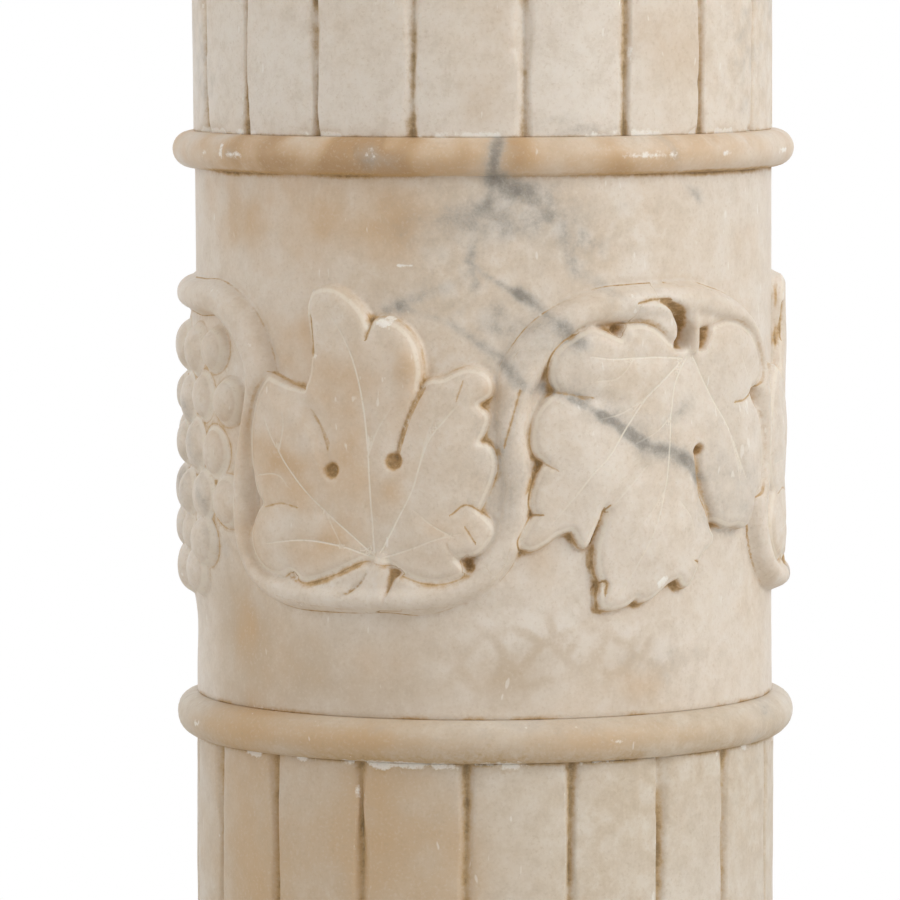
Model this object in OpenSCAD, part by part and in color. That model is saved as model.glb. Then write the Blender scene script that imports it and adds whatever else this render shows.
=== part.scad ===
// Free-standing Doric column in carved alabaster: a moulded base, two reeded
// shaft blocks, a drum with a vine carved in relief, and a Doric capital.
// Each block stands on the one below it by its own weight.
// Millimetres, +Z up, origin at the middle of the underside, front towards -Y.

/* [Shaft] */
// Radius of the shaft over its staves
shaft_r = 110; // [90:1:140]
// Height of the staves under the carved drum
lower_stave_h = 269; // [120:1:500]
// Height of the staves over the carved drum
upper_stave_h = 273; // [120:1:500]
// Number of staves round the shaft
stave_count = 18; // [12:6:24]
// Width of the V-groove between two staves
groove_w = 4.6; // [2:0.1:8]
// Depth of that groove
groove_depth = 3; // [1:0.5:6]
// How far a hand-cut groove strays from its place, in degrees
groove_stray = 1.1; // [0:0.1:2]
// Turn of the lower shaft's first groove from the front, in degrees
lower_groove_turn = -4.6; // [-15:0.1:15]
// Turn of the upper shaft's first groove from the front, in degrees
upper_groove_turn = 7.1; // [-15:0.1:15]

/* [Rings] */
// How far the half-round rings stand out of the shaft
ring_out = 7.3; // [4:0.1:12]
// Height of the ring under the carved drum
lower_ring_h = 16; // [10:0.5:24]
// Height of the ring over the carved drum
upper_ring_h = 14; // [10:0.5:24]
// Height of the small necking ring under the capital
neck_ring_h = 12; // [8:0.5:20]
// How far the necking ring stands out
neck_ring_out = 5.5; // [3:0.1:10]

/* [Carved drum] */
// How far the drum's ground lies inside the shaft's face
ground_inset = 0.9; // [0.3:0.1:3]
// Height of the drum's ground between the two rings
ground_h = 199; // [165:1:300]
// Number of waves of the vine round the drum
wave_count = 3; // [2:1:4]
// Height of the vine's middle line over the lower ring
vine_mid = 98; // [94:1:104]
// Rise and fall of the vine from its middle line
vine_swing = 53.5; // [46:0.5:56]
// Turn from the front to the first rising flank, in degrees
vine_turn = 7; // [-60:1:60]
// How upright the flanks stand: 0 leans, 1 is upright, more than 1 overhangs
flank_hold = 1; // [0.4:0.05:1.1]
// Half of the vine stem's width
stem_half_w = 6.2; // [4:0.1:9]
// Height of the stem's crown over the ground
stem_out = 7.2; // [5:0.1:10]
// Height of a leaf's highest swelling over the ground
leaf_out = 8.2; // [5:0.1:11]
// Height of a leaf's edge over the ground
leaf_edge_out = 5.2; // [3:0.1:8]
// Radius of one grape
grape_r = 9; // [6:0.1:9.3]
// Distance between two grapes side by side
grape_pitch = 19; // [18.7:0.1:22]
// Distance between two rows of grapes
grape_row = 16.2; // [15:0.1:20]
// Height of a grape's crown over the ground
grape_out = 7.6; // [4:0.1:9]

/* [Base] */
// How far the square plinth reaches past the large torus
plinth_margin = 6; // [2:1:40]
// Height of the plinth
plinth_h = 52; // [30:1:90]
// Height of the large torus on the plinth
torus_h = 36; // [24:1:60]
// How far the large torus stands out of the shaft
torus_out = 34; // [24:1:36]
// Height of each flat fillet of the base
fillet_h = 6; // [3:0.5:12]
// Height of the hollow between the two tori
scotia_h = 18; // [10:1:30]
// Height of the small torus under the shaft
small_torus_h = 18; // [10:1:30]
// How far the small torus stands out of the shaft
small_torus_out = 13; // [8:0.5:18]

/* [Capital] */
// How far the echinus, the cushion under the abacus, stands out of the shaft
echinus_out = 30; // [16:1:50]
// How far the square abacus reaches past the echinus
abacus_margin = 5; // [2:1:30]
// Height of the abacus
abacus_h = 52; // [30:1:90]
// Height of the plain neck under the annulets
neck_h = 30; // [15:1:60]
// Number of annulets, the small steps under the echinus
annulet_count = 3; // [1:1:5]
// Height and depth of one annulet
annulet_step = 4; // [2:0.5:6]
// Height of the echinus
echinus_h = 44; // [30:1:70]

/* [Hidden] */

$fn = 96;
ARC_STEPS = 10;          // straight steps in a turned half-round
BURY = 4;                // how deep carved relief runs on into the drum
RING_ROOT = 0.5;         // how far inside the staves' face a ring's curve starts
STEM_RINGS = 96;         // sections round the whole vine
STALK_RINGS = 4;         // steps along a leaf stalk

base_h = plinth_h + torus_h + 2 * fillet_h + scotia_h + small_torus_h;
lower_shaft_h = lower_stave_h + lower_ring_h;
drum_h = ground_h + upper_ring_h;
upper_shaft_h = upper_stave_h + neck_ring_h;
lower_shaft_z = base_h;
drum_z = lower_shaft_z + lower_shaft_h;
upper_shaft_z = drum_z + drum_h;
capital_z = upper_shaft_z + upper_shaft_h;
ground_r = shaft_r - ground_inset;
echinus_r = shaft_r + echinus_out;
plinth_w = 2 * (shaft_r + torus_out + plinth_margin);
abacus_w = 2 * (echinus_r + abacus_margin);
vine_lag = flank_hold * 90 / (PI * wave_count);

// Front half of a half-round moulding that starts at radius r and height z.
function half_round(r, z, h, out) =
    [for (i = [0:ARC_STEPS])
        let (t = -90 + 180 * i / ARC_STEPS)
        [r + out * cos(t), z + h / 2 + h / 2 * sin(t)]];

// Hollow quarter that runs in from radius r_low at height z to r_high above it.
function cove(r_low, r_high, z, h) =
    [for (i = [0:ARC_STEPS])
        let (t = 90 * i / ARC_STEPS)
        [r_high + (r_low - r_high) * (1 - sin(t)), z + h * (1 - cos(t))]];

// Cushion curve of the echinus: a Bezier curve that leaves the annulets on a
// slope, stands upright near its top and turns in a little under the abacus.
function echinus(r_low, r_high, z, h) =
    let (turn_in = 3, handle = [r_high + 2, z + 0.6 * h])
    [for (i = [0:ARC_STEPS])
        let (s = i / ARC_STEPS)
        (1 - s) * (1 - s) * [r_low, z] + 2 * s * (1 - s) * handle
            + s * s * [r_high - turn_in, z + h]];

// ---- Base -----------------------------------------------------------------

module base() {
    z1 = plinth_h;
    z2 = z1 + torus_h;
    z3 = z2 + fillet_h;
    z4 = z3 + scotia_h;
    z5 = z4 + fillet_h;
    torus_bulge = torus_h / 2;
    torus_r = shaft_r + torus_out - torus_bulge;
    small_bulge = small_torus_h / 2;
    small_r = shaft_r + small_torus_out - small_bulge;
    color("BlanchedAlmond") {
        translate([-plinth_w / 2, -plinth_w / 2, 0])
            cube([plinth_w, plinth_w, plinth_h]);
        rotate_extrude()
            polygon(concat(
                [[0, plinth_h / 2], [torus_r, plinth_h / 2]],
                half_round(torus_r, z1, torus_h, torus_bulge),
                [[torus_r, z3]],
                cove(torus_r - fillet_h / 2, small_r + fillet_h / 2, z3, scotia_h),
                [[small_r + fillet_h / 2, z5]],
                half_round(small_r, z5, small_torus_h, small_bulge),
                [[0, base_h]]));
    }
}

// ---- Shafts ---------------------------------------------------------------

// Turn of groove i: evenly spaced, then off by the carver's hand in slow waves,
// three of them round the shaft.
function groove_turn(i, first) =
    let (even = 360 * i / stave_count)
    even + first + groove_stray * sin(3 * even + 36);

module grooves(h, first) {
    over = 1;
    half = groove_w / 2 * (groove_depth + over) / groove_depth;
    for (i = [0:stave_count - 1])
        rotate(groove_turn(i, first) - 90)
            translate([0, 0, -over])
                linear_extrude(h + 2 * over)
                    polygon([[shaft_r - groove_depth, 0],
                             [shaft_r + over, -half],
                             [shaft_r + over, half]]);
}

// A block of staves with one half-round ring on its top. The grooves run up
// into the ring, which closes them with its flat underside.
module shaft_block(stave_h, ring_h, out, first) {
    grooved_h = stave_h + ring_h / 2;
    difference() {
        cylinder(r = shaft_r, h = grooved_h);
        grooves(grooved_h, first);
    }
    rotate_extrude()
        polygon(concat(
            [[0, stave_h]],
            half_round(shaft_r - RING_ROOT, stave_h, ring_h, out + RING_ROOT),
            [[0, stave_h + ring_h]]));
}

module lower_shaft() {
    color("Wheat")
        translate([0, 0, lower_shaft_z])
            shaft_block(lower_stave_h, lower_ring_h, ring_out, lower_groove_turn);
}

module upper_shaft() {
    color("AntiqueWhite")
        translate([0, 0, upper_shaft_z])
            shaft_block(upper_stave_h, neck_ring_h, neck_ring_out, upper_groove_turn);
}

// ---- Carved drum ----------------------------------------------------------

// Point at a turn from the front in degrees, a height and a radius.
function round_drum(turn, z, r) = [r * sin(turn), -r * cos(turn), z];

function turn_of(arc) = arc / ground_r * 180 / PI;

// Middle line of the vine at t degrees: a wave whose flanks hold back.
function vine(t) =
    [vine_turn + t - vine_lag * sin(2 * wave_count * t),
     vine_mid + vine_swing * sin(wave_count * t)];

function crest(k) = vine((k + 0.25) * 360 / wave_count);
function trough(k) = vine((k + 0.75) * 360 / wave_count);

// Unit normal, along the drum's face, of the step from p to q, both [turn, z].
function across(p, q) =
    let (dx = (q[0] - p[0]) * PI / 180 * ground_r, dz = q[1] - p[1])
    [-dz, dx] / norm([dx, dz]);

// Section of a stem as [share of half width, share of height], buried at its foot.
STEM_SECTION = [for (t = [-40, 10, 60, 120, 170, 220]) [cos(t), sin(t)]];

// Tube laid on the drum along the points of a path, closed round or capped.
module stem(path, half_w, out, closed) {
    n = len(path);
    m = len(STEM_SECTION);
    last = closed ? n - 1 : n - 2;
    points = [for (i = [0:n - 1])
        let (p = closed ? path[(i + n - 1) % n] - [i == 0 ? 360 : 0, 0] : path[max(i - 1, 0)],
             q = closed ? path[(i + 1) % n] + [i == n - 1 ? 360 : 0, 0] : path[min(i + 1, n - 1)],
             side = across(p, q))
        for (s = STEM_SECTION)
            round_drum(path[i][0] + turn_of(s[0] * half_w * side[0]),
                       path[i][1] + s[0] * half_w * side[1],
                       ground_r + (s[1] / sin(60)) * out)];
    sides = [for (i = [0:last], j = [0:m - 1])
        let (a = i * m + j, b = i * m + (j + 1) % m,
             c = ((i + 1) % n) * m + (j + 1) % m, d = ((i + 1) % n) * m + j)
        each [[a, c, b], [a, d, c]]];
    caps = closed ? [] : [[for (j = [0:m - 1]) j],
                          [for (j = [m - 1:-1:0]) (n - 1) * m + j]];
    polyhedron(points, concat(sides, caps));
}

// Vine leaf: spokes are [direction, reach] round the point where its veins
// meet, so the tips, notches and sinuses each take one spoke. The leaf swells
// between its middle and its edge.
LEAF_SWELL = [[0.3, 0.3], [0.6, 1], [0.86, 0.9], [1, 0]];

module leaf(turn, z, spokes) {
    n = len(spokes);
    m = len(LEAF_SWELL);
    function spot(share, spoke, r) =
        round_drum(turn + turn_of(share * spoke[1] * cos(spoke[0])),
                   z + share * spoke[1] * sin(spoke[0]), r);
    top = [for (s = LEAF_SWELL, k = spokes)
        spot(s[0], k, ground_r + leaf_edge_out + (leaf_out - leaf_edge_out) * s[1])];
    foot = [for (k = spokes) spot(0.97, k, ground_r - BURY)];
    middle = [round_drum(turn, z, ground_r + leaf_edge_out),
              round_drum(turn, z, ground_r - 2 * BURY)];
    hub = n * (m + 1);
    faces = [for (j = [0:n - 1])
        let (k = (j + 1) % n)
        each concat(
            [[hub, k, j], [hub + 1, m * n + j, m * n + k]],
            [for (i = [0:m - 1]) each
                [[i * n + j, i * n + k, (i + 1) * n + k],
                 [i * n + j, (i + 1) * n + k, (i + 1) * n + j]]])];
    polyhedron(concat(top, foot, middle), faces);
}

// Five-lobed leaf standing up from a trough of the vine.
UPRIGHT_LEAF = [
    [-24, 22], [-14, 32], [3, 40], [13, 45], [22, 44], [25, 40],      // lower right lobe
    [33, 52], [45, 58], [48, 56], [51, 68], [57, 78], [65, 74], [72, 67], // right lobe
    [77, 36],                                                         // sinus
    [78, 70], [82, 84], [88, 87], [91, 84], [97, 97], [104, 100], [109, 78], // middle lobe
    [113, 62], [117, 35],                                             // sinus
    [120, 66], [125, 79], [138, 72], [152, 61], [160, 46],            // left lobe
    [166, 53], [176, 55], [188, 46], [199, 31], [209, 14],            // lower left lobe
    [250, 5], [310, 6]];                                              // stalk

// Broad leaf hanging from a crest of the vine.
HANGING_LEAF = [
    [-112, 98], [-102, 91], [-95, 84], [-93, 89], [-86, 84], [-84, 79], [-79, 74], // bottom lobe
    [-78, 65], [-84, 37],                                             // sinus
    [-71, 68], [-64, 74], [-48, 68], [-38, 55],                       // right lower lobe
    [-26, 42],                                                        // notch
    [-8, 45], [4, 42], [16, 28], [38, 13], [70, 6],                   // right upper lobe
    [140, 8], [160, 25], [168, 36], [171, 44], [178, 58], [193, 58],  // upper left lobe
    [195, 54],                                                        // notch
    [204, 70], [212, 74], [218, 79], [222, 87], [226, 98],            // left lower lobe
    [230, 84], [236, 75], [239, 66],                                  // sinus
    [240, 86]];

// Stalk from a leaf's middle to the vine, which it meets at height z_end.
module stalk(turn, z, z_end) {
    path = [for (i = [0:STALK_RINGS])
        [turn, z + (z_end - z) * i / STALK_RINGS]];
    stem(path, stem_half_w * 0.7, leaf_edge_out * 0.9, false);
}

module upright_leaf(k) {
    lean = 1.6;
    rise = 15.5;
    at = trough(k);
    leaf(at[0] + lean, at[1] + rise, UPRIGHT_LEAF);
    stalk(at[0] + lean, at[1] + rise - 3, at[1]);
}

module hanging_leaf(k) {
    lean = 4.7;
    drop = 17.5;
    at = crest(k);
    leaf(at[0] + lean, at[1] - drop, HANGING_LEAF);
    stalk(at[0] + lean, at[1], at[1] - drop + 3);
}

// Bunch of grapes in staggered rows, hanging from a crest of the vine.
GRAPES_IN_ROW = [5, 6, 5, 6, 5, 4];

module grapes(k) {
    at = crest(k);
    drop = 18;
    for (row = [0:len(GRAPES_IN_ROW) - 1])
        for (i = [0:GRAPES_IN_ROW[row] - 1])
            translate(round_drum(
                at[0] + turn_of((i - (GRAPES_IN_ROW[row] - 1) / 2) * grape_pitch),
                at[1] - drop - row * grape_row,
                ground_r + grape_out - grape_r))
                sphere(r = grape_r, $fn = 24);
}

module carved_drum() {
    color("Linen")
        translate([0, 0, drum_z]) {
            rotate_extrude()
                polygon(concat(
                    [[0, 0], [ground_r, 0], [ground_r, ground_h]],
                    half_round(shaft_r, ground_h, upper_ring_h, ring_out),
                    [[0, drum_h]]));
            stem([for (i = [0:STEM_RINGS - 1]) vine(360 * i / STEM_RINGS)],
                 stem_half_w, stem_out, true);
            hanging_leaf(0);
            for (k = [1:wave_count - 1])
                grapes(k);
            for (k = [0:wave_count - 1])
                upright_leaf(k);
        }
}

// ---- Capital --------------------------------------------------------------

module capital() {
    annulets_h = annulet_count * annulet_step;
    echinus_z = neck_h + annulets_h;
    abacus_z = echinus_z + echinus_h;
    annulets = [for (i = [0:annulet_count - 1])
        each [[shaft_r + (i + 1) * annulet_step / 2, neck_h + i * annulet_step],
              [shaft_r + (i + 1) * annulet_step / 2, neck_h + (i + 1) * annulet_step]]];
    color("OldLace")
        translate([0, 0, capital_z]) {
            rotate_extrude()
                polygon(concat(
                    [[0, 0], [shaft_r, 0], [shaft_r, neck_h]],
                    annulets,
                    echinus(shaft_r + annulets_h / 2 + 1, echinus_r, echinus_z, echinus_h),
                    [[0, abacus_z]]));
            translate([-abacus_w / 2, -abacus_w / 2, abacus_z])
                cube([abacus_w, abacus_w, abacus_h]);
        }
}

base();
lower_shaft();
carved_drum();
upper_shaft();
capital();
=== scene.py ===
# A free-standing column of carved alabaster: a moulded base, two reeded shaft blocks, a drum with
# a vine in relief, and a capital. Each block is one closed surface. Lengths are in millimetres
# until a mesh is made, which is in metres like the frame. The front is towards -Y.
import math

import bpy
import numpy as np
from mathutils import Euler, Matrix, Vector


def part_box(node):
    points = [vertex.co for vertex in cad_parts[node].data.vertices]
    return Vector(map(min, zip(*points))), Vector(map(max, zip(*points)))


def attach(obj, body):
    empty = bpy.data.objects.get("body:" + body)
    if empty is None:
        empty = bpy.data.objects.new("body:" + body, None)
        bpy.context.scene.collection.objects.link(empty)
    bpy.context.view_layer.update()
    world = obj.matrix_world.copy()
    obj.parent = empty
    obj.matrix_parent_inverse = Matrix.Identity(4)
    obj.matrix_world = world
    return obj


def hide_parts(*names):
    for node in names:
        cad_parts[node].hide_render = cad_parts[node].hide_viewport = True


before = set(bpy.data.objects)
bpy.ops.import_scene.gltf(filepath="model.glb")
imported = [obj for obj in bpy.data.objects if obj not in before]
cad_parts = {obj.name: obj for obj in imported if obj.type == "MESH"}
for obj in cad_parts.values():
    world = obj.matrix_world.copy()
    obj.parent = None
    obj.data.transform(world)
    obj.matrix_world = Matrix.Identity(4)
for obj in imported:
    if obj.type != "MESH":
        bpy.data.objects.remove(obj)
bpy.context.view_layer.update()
print("frame loaded:", ", ".join(sorted(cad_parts)))


view = {
    "lens": 276,  # a long lens, far away, so that the rings look nearly level
    "sensor": 36,
    "place": (-13, -2617, 709.2),  # a hand's width over the drum
    "down": 4.31,  # degrees
    "roll": -0.19,  # degrees
}


def makeCamera(view):
    # looks along +Y, tips down by one turn about X and rolls by one about its own sight line
    data = bpy.data.cameras.new("camera")
    data.lens = view["lens"]
    data.sensor_width = view["sensor"]
    camera = bpy.data.objects.new("camera", data)
    tip = Euler((math.radians(90 - view["down"]), 0, 0)).to_matrix()
    roll = Matrix.Rotation(math.radians(view["roll"]), 3, "Z")
    camera.matrix_world = Matrix.Translation(Vector(view["place"]) / 1000) @ (tip @ roll).to_4x4()
    bpy.context.scene.collection.objects.link(camera)
    bpy.context.scene.camera = camera


makeCamera(view)
print("camera ready")


def boxOf(block):
    # lowest and highest corner of a block in millimetres
    return [np.array(corner) * 1000 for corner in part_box(block)]


column = {
    "radius": 110.0,  # of the shaft over its staves
    "lowerRing": 16.0,  # height of the ring under the drum
    "upperRing": 14.0,  # height of the ring over the drum
    "neckRing": 12.0,  # height of the ring under the capital
    "ground": 109.1,  # radius of the drum's plain ground
}
column["ringOut"] = boxOf("lower_shaft")[1][0] - column["radius"]
girth = 2 * math.pi * column["radius"]  # length round the shaft


# Faces are worked out unrolled flat: a is the arc to the right of the front, z the height over the
# block's foot

def makeSkin(height, step):
    # a grid over the whole face, with a whole number of steps round it
    count = int(round(girth / step))
    return {
        "stepA": girth / count,
        "stepZ": step,
        "a": -girth / 2 + np.arange(count) * girth / count,
        "z": np.arange(0, height + step, step),
    }


def shapeOf(skin):
    # rows and columns of a skin's grid
    return len(skin["z"]), len(skin["a"])


def blur(skin, field, size):
    # Gaussian blur: the spectrum times exp(-(wave number * size)^2 / 2). The field is mirrored upwards
    # first, so that its foot and head don't mix
    tall = np.concatenate([field, field[::-1]])
    waveA = 2 * np.pi * np.fft.rfftfreq(tall.shape[1], skin["stepA"])
    waveZ = 2 * np.pi * np.fft.fftfreq(tall.shape[0], skin["stepZ"])
    fade = np.exp(-(waveA[None, :] ** 2 + waveZ[:, None] ** 2) * size**2 / 2)
    return np.fft.irfft2(np.fft.rfft2(tall) * fade, s=tall.shape)[: len(field)]


def cloud(skin, size, seed):
    # soft noise with lumps of one size: blurred white noise, stretched to a standard deviation of 1
    rng = np.random.default_rng(seed)
    soft = blur(skin, rng.standard_normal(shapeOf(skin)), size)
    return (soft - soft.mean()) / soft.std()


def smoothStep(low, high, value):
    # 0 under low, 1 over high and 3t^2 - 2t^3 between them
    t = np.clip((value - low) / (high - low), 0, 1)
    return t * t * (3 - 2 * t)


def sample(skin, field, a, z):
    # value of a field at any arc and height, by straight lines between the four grid points round it
    rows, columns = shapeOf(skin)
    x = (a - skin["a"][0]) / skin["stepA"]
    y = np.clip(z / skin["stepZ"], 0, rows - 1.001)
    x0, y0 = np.floor(x).astype(int), np.floor(y).astype(int)
    fx, fy = x - x0, y - y0
    left, right = x0 % columns, (x0 + 1) % columns
    low = field[y0, left] * (1 - fx) + field[y0, right] * fx
    high = field[y0 + 1, left] * (1 - fx) + field[y0 + 1, right] * fx
    return low * (1 - fy) + high * fy


def cloudAt(skin, size, seed, a, z):
    # value of a cloud at any arc and height
    return sample(skin, cloud(skin, size, seed), a, z)


def smoothPath(knots, closed=False, steps=6):
    # curve through the knots in cubic Hermite pieces: at a knot it runs along the line between the
    # knot's neighbours, and at a corner, a knot with a third number, straight to each neighbour
    points = np.array([knot[:2] for knot in knots], float)
    corner = np.array([len(knot) > 2 for knot in knots])[:, None]
    before, after = np.roll(points, 1, 0), np.roll(points, -1, 0)
    if not closed:
        before[0], after[-1] = 2 * points[0] - points[1], 2 * points[-1] - points[-2]
    unit = lambda v: v / np.maximum(np.linalg.norm(v, axis=1, keepdims=True), 1e-9)
    arrive = unit(np.where(corner, points - before, after - before))
    leave = unit(np.where(corner, after - points, after - before))
    i = np.arange(len(points) if closed else len(points) - 1)
    j = (i + 1) % len(points)
    span = np.linalg.norm(points[j] - points[i], axis=1)[:, None, None]
    t = (np.arange(steps) / steps)[None, :, None]
    curve = (
        (2 * t**3 - 3 * t**2 + 1) * points[i][:, None]
        + (t**3 - 2 * t**2 + t) * span * leave[i][:, None]
        + (3 * t**2 - 2 * t**3) * points[j][:, None]
        + (t**3 - t**2) * span * arrive[j][:, None]
    ).reshape(-1, 2)
    return np.concatenate([curve, curve[:1] if closed else points[-1:]])


def nearPath(skin, path, reach):
    # distance from a path, the side of it (+1 on its left) and the path's third number there, for all
    # points within reach: each straight step of the path claims the points that lie nearest to it
    rows, columns = shapeOf(skin)
    distance = np.full((rows, columns), float(reach))
    side, third = np.ones((rows, columns)), np.zeros((rows, columns))
    for p, q in zip(path[:-1], path[1:]):
        along = q - p
        length = along[0] ** 2 + along[1] ** 2
        if length == 0:
            continue
        low, high = np.minimum(p, q) - reach, np.maximum(p, q) + reach
        i = np.arange(max(int(low[1] / skin["stepZ"]), 0), min(int(high[1] / skin["stepZ"]) + 2, rows))
        j = np.arange(math.floor((low[0] + girth / 2) / skin["stepA"]),
                      math.ceil((high[0] + girth / 2) / skin["stepA"]) + 1)
        if len(i) == 0:
            continue
        da = (j * skin["stepA"] - girth / 2 - p[0])[None, :]
        dz = (i * skin["stepZ"] - p[1])[:, None]
        t = np.clip((da * along[0] + dz * along[1]) / length, 0, 1)
        off = np.hypot(da - t * along[0], dz - t * along[1])
        place = np.ix_(i, j % columns)
        nearer = off < distance[place]
        left = np.where(along[0] * dz - along[1] * da > 0, 1.0, -1.0)
        distance[place] = np.where(nearer, off, distance[place])
        side[place] = np.where(nearer, left, side[place])
        if len(p) > 2:
            third[place] = np.where(nearer, p[2] + t * along[2], third[place])
    return distance, side, third


def insideOutline(skin, path):
    # crossing number: a point is inside where an odd number of the outline's steps lie to its left
    inside = np.zeros(shapeOf(skin), bool)
    for p, q in zip(path[:-1], path[1:]):
        rows = (skin["z"] >= min(p[1], q[1])) & (skin["z"] < max(p[1], q[1]))
        if rows.any():
            meets = p[0] + (skin["z"][rows] - p[1]) / (q[1] - p[1]) * (q[0] - p[0])
            inside[rows] ^= skin["a"][None, :] > meets[:, None]
    return inside


def hump(skin, a, z, wide, tall, tilt=0.0):
    # round hill of height 1: exp(-(x/wide)^2 - (y/tall)^2), its axes turned to the left by tilt degrees
    da = (skin["a"][None, :] - a + girth / 2) % girth - girth / 2
    dz = skin["z"][:, None] - z
    c, s = math.cos(math.radians(tilt)), math.sin(math.radians(tilt))
    return np.exp(-(((c * da + s * dz) / wide) ** 2) - ((c * dz - s * da) / tall) ** 2)


def patchwork(skin, patches):
    # the highest of many hills at each point: each is (a, z, half width, half height, tilt, strength)
    field = np.zeros(shapeOf(skin))
    for patch in patches:
        field = np.maximum(field, patch[5] * hump(skin, *patch[:5]))
    return field


def makeSurface(name, turn, radius, z, fields):
    # closed skin round the axis: grid point (row, column) lies at (R sin t, -R cos t, z), rows run
    # from the foot upwards and columns to the right. A fan closes the foot and the head. Each four-sided
    # face is cut along the diagonal that is more nearly level, so that slanting edges stay clean
    rows, columns = radius.shape
    turn = np.broadcast_to(turn, radius.shape)
    z = np.broadcast_to(z, radius.shape)
    grid = np.stack([radius * np.sin(turn), -radius * np.cos(turn), z], -1).reshape(-1, 3)
    middle = np.array([[0, 0, z[0].mean()], [0, 0, z[-1].mean()]])
    points = np.concatenate([grid, middle]) / 1000
    i, j = np.meshgrid(np.arange(rows - 1), np.arange(columns), indexing="ij")
    k = (j + 1) % columns
    a, b, c, d = i * columns + j, i * columns + k, (i + 1) * columns + k, (i + 1) * columns + j
    rise = radius.ravel()
    rising = np.abs(rise[a] - rise[c]) <= np.abs(rise[b] - rise[d])
    first = np.where(rising[..., None], np.stack([a, b, c], -1), np.stack([a, b, d], -1))
    second = np.where(rising[..., None], np.stack([a, c, d], -1), np.stack([b, c, d], -1))
    here = np.arange(columns)
    after = (here + 1) % columns
    last = (rows - 1) * columns
    foot = np.stack([np.full(columns, len(grid)), after, here], -1)
    head = np.stack([np.full(columns, len(grid) + 1), last + here, last + after], -1)
    faces = np.concatenate([first.reshape(-1, 3), second.reshape(-1, 3), foot, head])
    mesh = bpy.data.meshes.new(name)
    mesh.vertices.add(len(points))
    mesh.vertices.foreach_set("co", points.astype(np.float32).ravel())
    mesh.loops.add(faces.size)
    mesh.loops.foreach_set("vertex_index", faces.astype(np.int32).ravel())
    mesh.polygons.add(len(faces))
    mesh.polygons.foreach_set("loop_start", np.arange(0, faces.size, 3, dtype=np.int32))
    mesh.polygons.foreach_set("use_smooth", np.ones(len(faces), bool))
    mesh.update()
    mesh.validate()
    for field, values in fields.items():
        kept = np.concatenate([np.broadcast_to(values, radius.shape).ravel(), [0, 0]])
        mesh.attributes.new(field, "FLOAT", "POINT").data.foreach_set("value", kept.astype(np.float32))
    made = bpy.data.objects.new(name, mesh)
    bpy.context.scene.collection.objects.link(made)
    print(name, len(faces), "triangles")
    return made


def spaced(*stretches):
    # stations along a line: each stretch is (end, longest step), the first starts at the first end
    stations = [np.array([stretches[0][0]], float)]
    for (start, _), (end, step) in zip(stretches[:-1], stretches[1:]):
        count = int(math.ceil((end - start) / step))
        stations.append(np.linspace(start, end, count + 1)[1:])
    return np.concatenate(stations)


def halfRound(radius, z, height, out, steps):
    # front half of a half-round moulding: R = radius + out cos t, z rises with sin t from foot to head
    t = np.linspace(-np.pi / 2, np.pi / 2, steps)
    return radius + out * np.cos(t), z + height / 2 * (1 + np.sin(t))


drum = {
    "step": 0.4,  # grid of the unrolled face
    "foot": boxOf("carved_drum")[0][2],
    "height": boxOf("carved_drum")[1][2] - boxOf("carved_drum")[0][2],
    "groundSwell": 0.28,  # how far the hand-dressed ground waves in and out
    "edgeSoft": 0.35,  # blur of the finished carving
    "ringSteps": 15,
    "frontHalf": 105,  # half the arc of the fine front, and then of the front with its flanks
    "flankHalf": 172.5,
    "vineZone": (36, 160.5),  # heights between which the grid is fine
    "looseCut": ([(12, 121), (9.5, 112), (6.5, 101)], 0.8, 1.3, 0.6),  # slip of the chisel on the stem
}
drum["groundHeight"] = drum["height"] - column["upperRing"]

# The vine's middle line over one wave, from crest to crest, as (a, z, half width). a counts from the
# wave's own crest. Each of the three waves takes a falling flank and then the rising one
vine = {
    "crest": -girth / 3 + 71.0,
    "wave": girth / 3,
    "out": 7.2,
    "fallingLeft": [(0, 151.5, 6.5), (20, 151.5, 6.5), (39, 151.5, 6.6), (53, 145.5, 7), (61.5, 137, 7.2),
                    (66.3, 127, 7.2), (66, 117, 6.6), (62.5, 104, 5.8), (60, 95, 5.2), (58, 80, 5),
                    (59.5, 64, 5), (65.5, 53, 5.2), (75, 47, 5.5), (89, 44.5, 5.5)],
    "fallingRight": [(0, 151.5, 7), (10, 152.2, 7), (22, 150, 6.5), (33, 146.5, 6.2), (43, 140.5, 6),
                     (51, 131, 6), (55.5, 118, 5.6), (57, 101, 5.2), (56, 84, 5), (54, 73, 5), (54.5, 64, 5),
                     (60, 54, 5.2), (69, 47.5, 5.4), (82, 44.8, 5.5)],
    "rising": [(119, 44.5, 5.5), (139, 45, 5.5), (149.5, 48, 5.6), (158.5, 54, 5.8), (164.5, 62, 6),
               (168.5, 71, 6), (170.3, 82, 6), (170.3, 93, 6), (168.8, 104, 6.2), (169.5, 117, 7.6),
               (171.5, 126, 7.6), (177.5, 136, 7), (186.5, 144.5, 6.6), (198, 150, 6.6), (215, 151.8, 7)],
}

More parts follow.
